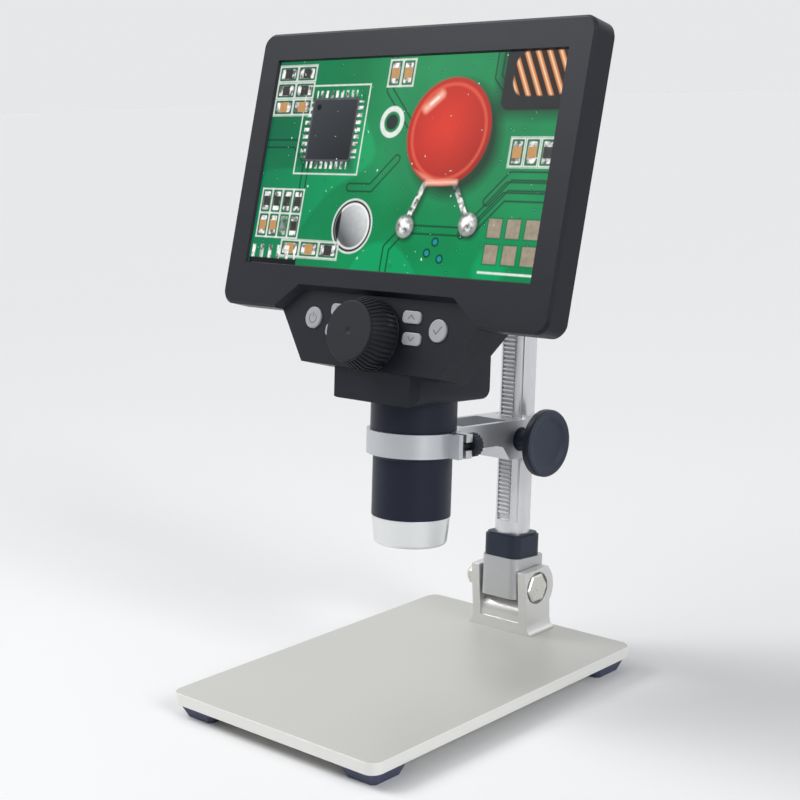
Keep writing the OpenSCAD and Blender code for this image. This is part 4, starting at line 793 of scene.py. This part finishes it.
def heightKnob():
    # a disc on a hub, with a dished face of its own finish, painted lighter as a painted highlight
    rim, front, radius = knob["round"], knob["front"], knob["radius"]
    piece = lathe("dishedKnob", [
        (knob["hub"], knob["hubLow"]), (knob["hub"], knob["hubTop"]), (radius - 1.4 * rim, knob["back"]),
        (radius, knob["back"] + rim), (radius, front - rim), (radius - 0.35 * rim, front - 0.35 * rim),
        (radius - rim, front), (radius - 1.7 * rim, front - 0.15),
        *[(radius * share, front - deep) for share, deep in knob["dish"]],
        (knob["centre"][0], front - knob["centre"][1])], knob["sides"])
    place = Matrix.Translation((0, knobSpot.y, knobSpot.z)) @ Matrix.Rotation(math.radians(90), 4, "Y")
    settled(piece, "height_knob", place, knob["edge"], smooth=24)

    def onFace(middle, normal):
        away = math.hypot(middle.y - knobSpot.y, middle.z - knobSpot.z)
        return middle.x > (front - knob["faceDepth"]) * mm and away < (radius - 0.3 * rim) * mm
    # the front face takes the lighter finish, a painted highlight
    recoat(piece, "knobFaceSheen", onFace)


heightKnob()

bolt = {
    "shaft": 3.0, "end": -20.5, "seat": 12.95, "corner": 6.85, "brow": 15.3, "crown": 6.0, "top": 16.1,
    "chamfer": 0.15, "rim": 0.5, "centre": 1.5, "sunk": 0.2, "sides": 48, "edge": 0.16,
}


def hingeBolt():
    # a round shaft and a six-sided head with a chamfered crown, in the recess of the right ear
    seat, crown, top = bolt["seat"], bolt["crown"], bolt["top"]
    ends = [(bolt["shaft"], bolt["end"]), (bolt["shaft"], seat + bolt["sunk"])]
    shaft = lathe("boltShaft", ends, bolt["sides"])
    piece = lathe("hexBolt", [
        (bolt["corner"], seat), (bolt["corner"], bolt["brow"]), (crown, top - bolt["chamfer"]),
        (crown - bolt["rim"], top), (bolt["centre"], top)], 6)
    shaft.select_set(True)
    piece.select_set(True)
    bpy.context.view_layer.objects.active = piece
    bpy.ops.object.join()
    place = Matrix.Translation(Vector(tilt["pos_m"])) @ Matrix.Rotation(math.radians(90), 4, "Y")
    settled(piece, "hinge_bolt", place, bolt["edge"], smooth=24)


hingeBolt()

clampKnob = {
    "across": 22.6, "low": 8.4, "high": 13.4, "core": 4.65, "radius": 5.0, "ribs": 18, "foot": (0.7, 0.5),
    "round": 0.6, "face": ((2.2, 0), (2.7, 0.3), (4.25, 0.35)), "edge": 0.12,        # inwards, deep
}


def clampHead():
    # a knurled head with a sunk face
    low, high, core, rim = clampKnob["low"], clampKnob["high"], clampKnob["core"], clampKnob["round"]
    inward, upward = clampKnob["foot"]
    piece = lathe("knurledHead", [
        (core - inward, low), (core, low + upward), (core, high - rim), (core - rim, high),
        *[(core - inner, high - deep) for inner, deep in clampKnob["face"]]], 2 * clampKnob["ribs"])
    ribbed(piece, 2 * clampKnob["ribs"], low + upward, high - rim, clampKnob["radius"] / core)
    aside = Matrix.Translation((clampKnob["across"] * mm, 0, 0))
    place = barrelPlace @ aside @ Matrix.Rotation(math.radians(-90), 4, "X")
    settled(piece, "clamp_knob", place, clampKnob["edge"])


clampHead()

cap = {
    "round": 9.0, "wide": 9.6, "high": 5.0, "corner": 1.8, "flange": 0.7, "flangeLow": -5.2,
    "flangeHigh": -4.65, "shoulder": -2.05, "brow": ((0.18, 0.16), (0.3, 0.09)), "edge": 0.05,
    "sides": 72, "steps": 10,
}


def buttonCap(node, place):
    # a cap on a wider flange, with a rounded brow
    flange, low = cap["flange"] * mm, cap["flangeLow"] * mm
    bpy.ops.object.select_all(action="DESELECT")
    if node in ("power_button", "ok_button"):
        bpy.ops.mesh.primitive_circle_add(vertices=cap["sides"], radius=cap["round"] / 2 * mm + flange,
                                          fill_type="NGON", location=(0, 0, 0))
        piece = bpy.context.active_object
        bpy.ops.object.mode_set(mode="EDIT")
    else:
        bpy.ops.mesh.primitive_plane_add(size=1, location=(0, 0, 0))
        piece = bpy.context.active_object
        bpy.ops.object.mode_set(mode="EDIT")
        bpy.ops.transform.resize(value=(cap["wide"] * mm + 2 * flange, cap["high"] * mm + 2 * flange, 1),
                                 center_override=(0, 0, 0))
        bpy.ops.mesh.bevel(offset=cap["corner"] * mm + flange, segments=cap["steps"], affect="VERTICES")
    piece.name = "cap_" + node
    bpy.ops.mesh.select_all(action="SELECT")
    bpy.ops.transform.translate(value=(0, 0, low))
    bpy.ops.mesh.extrude_region_move(TRANSFORM_OT_translate={"value": (0, 0, cap["flangeHigh"] * mm - low)})
    bpy.ops.mesh.inset(thickness=flange, depth=0)
    rise = (cap["shoulder"] - cap["flangeHigh"]) * mm
    bpy.ops.mesh.extrude_region_move(TRANSFORM_OT_translate={"value": (0, 0, rise)})
    for inward, upward in cap["brow"]:
        bpy.ops.mesh.inset(thickness=inward * mm, depth=upward * mm)
    bpy.ops.object.mode_set(mode="OBJECT")
    spot = Matrix.Translation((place[0] * mm, place[1] * mm, 0))
    settled(piece, node, screenPlace @ spot, cap["edge"], smooth=50)


for node, place in buttonPlaces.items():
    buttonCap(node, place)
print("hand-made pieces: dial, two knobs, bolt and %d buttons" % len(buttonPlaces))

# floor, room, lamps and camera
shot = {
    "lens": 71.84, "sensor": 36, "near": 0.01, "place": (0.441361, -0.465122, 0.242331),
    "azimuth": 0.758758, "elevation": 0.195562, "roll": -0.0315122,
}
studio = {
    "floorSize": 40.0, "floorTint": (0.9, 0.9, 0.905, 1), "backdrop": 0.808, "fill": 0.4, "ceiling": 1.5,
    "keyFrom": (-0.7, -0.3, 0.75), "keyPower": 1.5, "keySpread": 28,
    "sideFrom": (0.9, -0.15, 0.5), "sidePower": 1.2, "sideSpread": 24, "sideTint": (0.97, 0.98, 1),
    "panelPower": 0.75, "panelSize": 0.3, "panelPlace": (-0.22, -0.34, 0.5), "panelAim": (-0.03, -0.06, 0.2),
}


def linked(name, data):
    thing = bpy.data.objects.new(name, data)
    bpy.context.collection.objects.link(thing)
    return thing


def addCamera():
    camera = linked("camera", bpy.data.cameras.new("camera"))
    camera.data.lens = shot["lens"]
    camera.data.sensor_width = shot["sensor"]
    camera.data.clip_start = shot["near"]
    azimuth, elevation, roll = shot["azimuth"], shot["elevation"], shot["roll"]
    level = math.cos(elevation)
    back = Vector((math.sin(azimuth) * level, -math.cos(azimuth) * level, math.sin(elevation)))
    right = Vector((math.cos(azimuth), math.sin(azimuth), 0))
    up = back.cross(right)
    rightTurned = right * math.cos(roll) + up * math.sin(roll)
    upTurned = up * math.cos(roll) - right * math.sin(roll)
    view = Matrix((rightTurned, upTurned, back)).transposed().to_4x4()
    view.translation = Vector(shot["place"])
    camera.matrix_world = view
    bpy.context.scene.camera = camera


def addFloor():
    bpy.ops.mesh.primitive_plane_add(size=studio["floorSize"], location=(0, 0, cadBox[0][2]))
    floor = bpy.context.active_object
    floor.name = "floor"
    ground = Finish("floor")
    tint = ground.blend(ground.noise(3, 2), shade(studio["floorTint"], 0.99), studio["floorTint"])
    floor.data.materials.append(ground.use(tint, 0.9, more={"Specular IOR Level": 0.0}))


addCamera()
addFloor()

# brightness round the room, by bearing: 0 to 1, with 0.5 to the right
backdrop = studio["backdrop"]
shineLevels = (                            # pale strips that the bright metal shows, beside a dark front
    (0.0, 1.3), (0.07, 1.4), (0.11, 0.7), (0.15, 0.2), (0.3, 0.1), (0.4, 0.12), (0.408, 0.3), (0.415, 2.5),
    (0.452, 2.5), (0.462, 0.4), (0.56, 0.6), (0.62, 0.75), (0.68, 0.9), (0.8, backdrop))
fillLevels = ((0.0, 1.25), (0.08, 1.3), (0.2, 0.7), (0.38, 0.5), (0.5, 1.0), (0.6, 1.4), (0.8, 1.0))


def grey(level):
    return (level * 0.98, level * 0.99, level, 1)


def addRoom():
    # the camera sees a plain backdrop, bright surfaces see the strips, and the rest gets the fill
    world = bpy.data.worlds.new("studio")
    bpy.context.scene.world = world
    world.use_nodes = True
    room = NodeBench(world.node_tree)
    rays = room.add("ShaderNodeLightPath").socket.node.outputs
    seen = Val(room, rays["Is Camera Ray"])
    shining = Val(room, rays["Is Glossy Ray"]).most(Val(room, rays["Is Transmission Ray"]))
    across, along, rise = room.parts(room.add("ShaderNodeTexCoord", out="Generated"))
    bearing = along.calc("ARCTAN2", across) * (0.5 / math.pi) + 0.5

    def around(levels, factor):
        stops = [(place, grey(level * factor)) for place, level in levels]
        return room.add("ShaderNodeValToRGB", {}, {"Fac": bearing}, stops=stops)

    strips = around(shineLevels, 1.0)
    strips = room.blend((rise * -1.6 + 0.55).clip() * 0.6, strips, grey(backdrop))
    strips = room.blend((rise * 4 - 1.5).clip(), strips, grey(studio["ceiling"]))
    plain = room.blend(seen, around(fillLevels, studio["fill"]), grey(backdrop))
    colour = room.blend(shining, plain, strips)
    light = room.add("ShaderNodeBackground", {}, {"Color": colour, "Strength": 1.0})
    room.add("ShaderNodeOutputWorld", {}, {"Surface": light}, out=None)


addRoom()


def sun(name, toward, strength, spread, tint=(1, 1, 1)):
    # even soft light from one side; toward points from the object to the lamp
    data = bpy.data.lights.new(name, "SUN")
    data.energy = strength
    data.angle = math.radians(spread)
    data.color = tint
    lamp = linked(name, data)
    lamp.rotation_euler = (-Vector(toward)).to_track_quat("-Z", "Y").to_euler()


def panelLamp():
    # a small soft panel high at the left, for the glints on edges
    data = bpy.data.lights.new("panel", "AREA")
    data.size, data.energy = studio["panelSize"], studio["panelPower"]
    lamp = linked("panel", data)
    lamp.location = studio["panelPlace"]
    lamp.rotation_euler = (lamp.location - Vector(studio["panelAim"])).to_track_quat("Z", "Y").to_euler()


sun("key", studio["keyFrom"], studio["keyPower"], studio["keySpread"])
sun("side", studio["sideFrom"], studio["sidePower"], studio["sideSpread"], studio["sideTint"])
panelLamp()
print("studio: camera and 3 lamps")
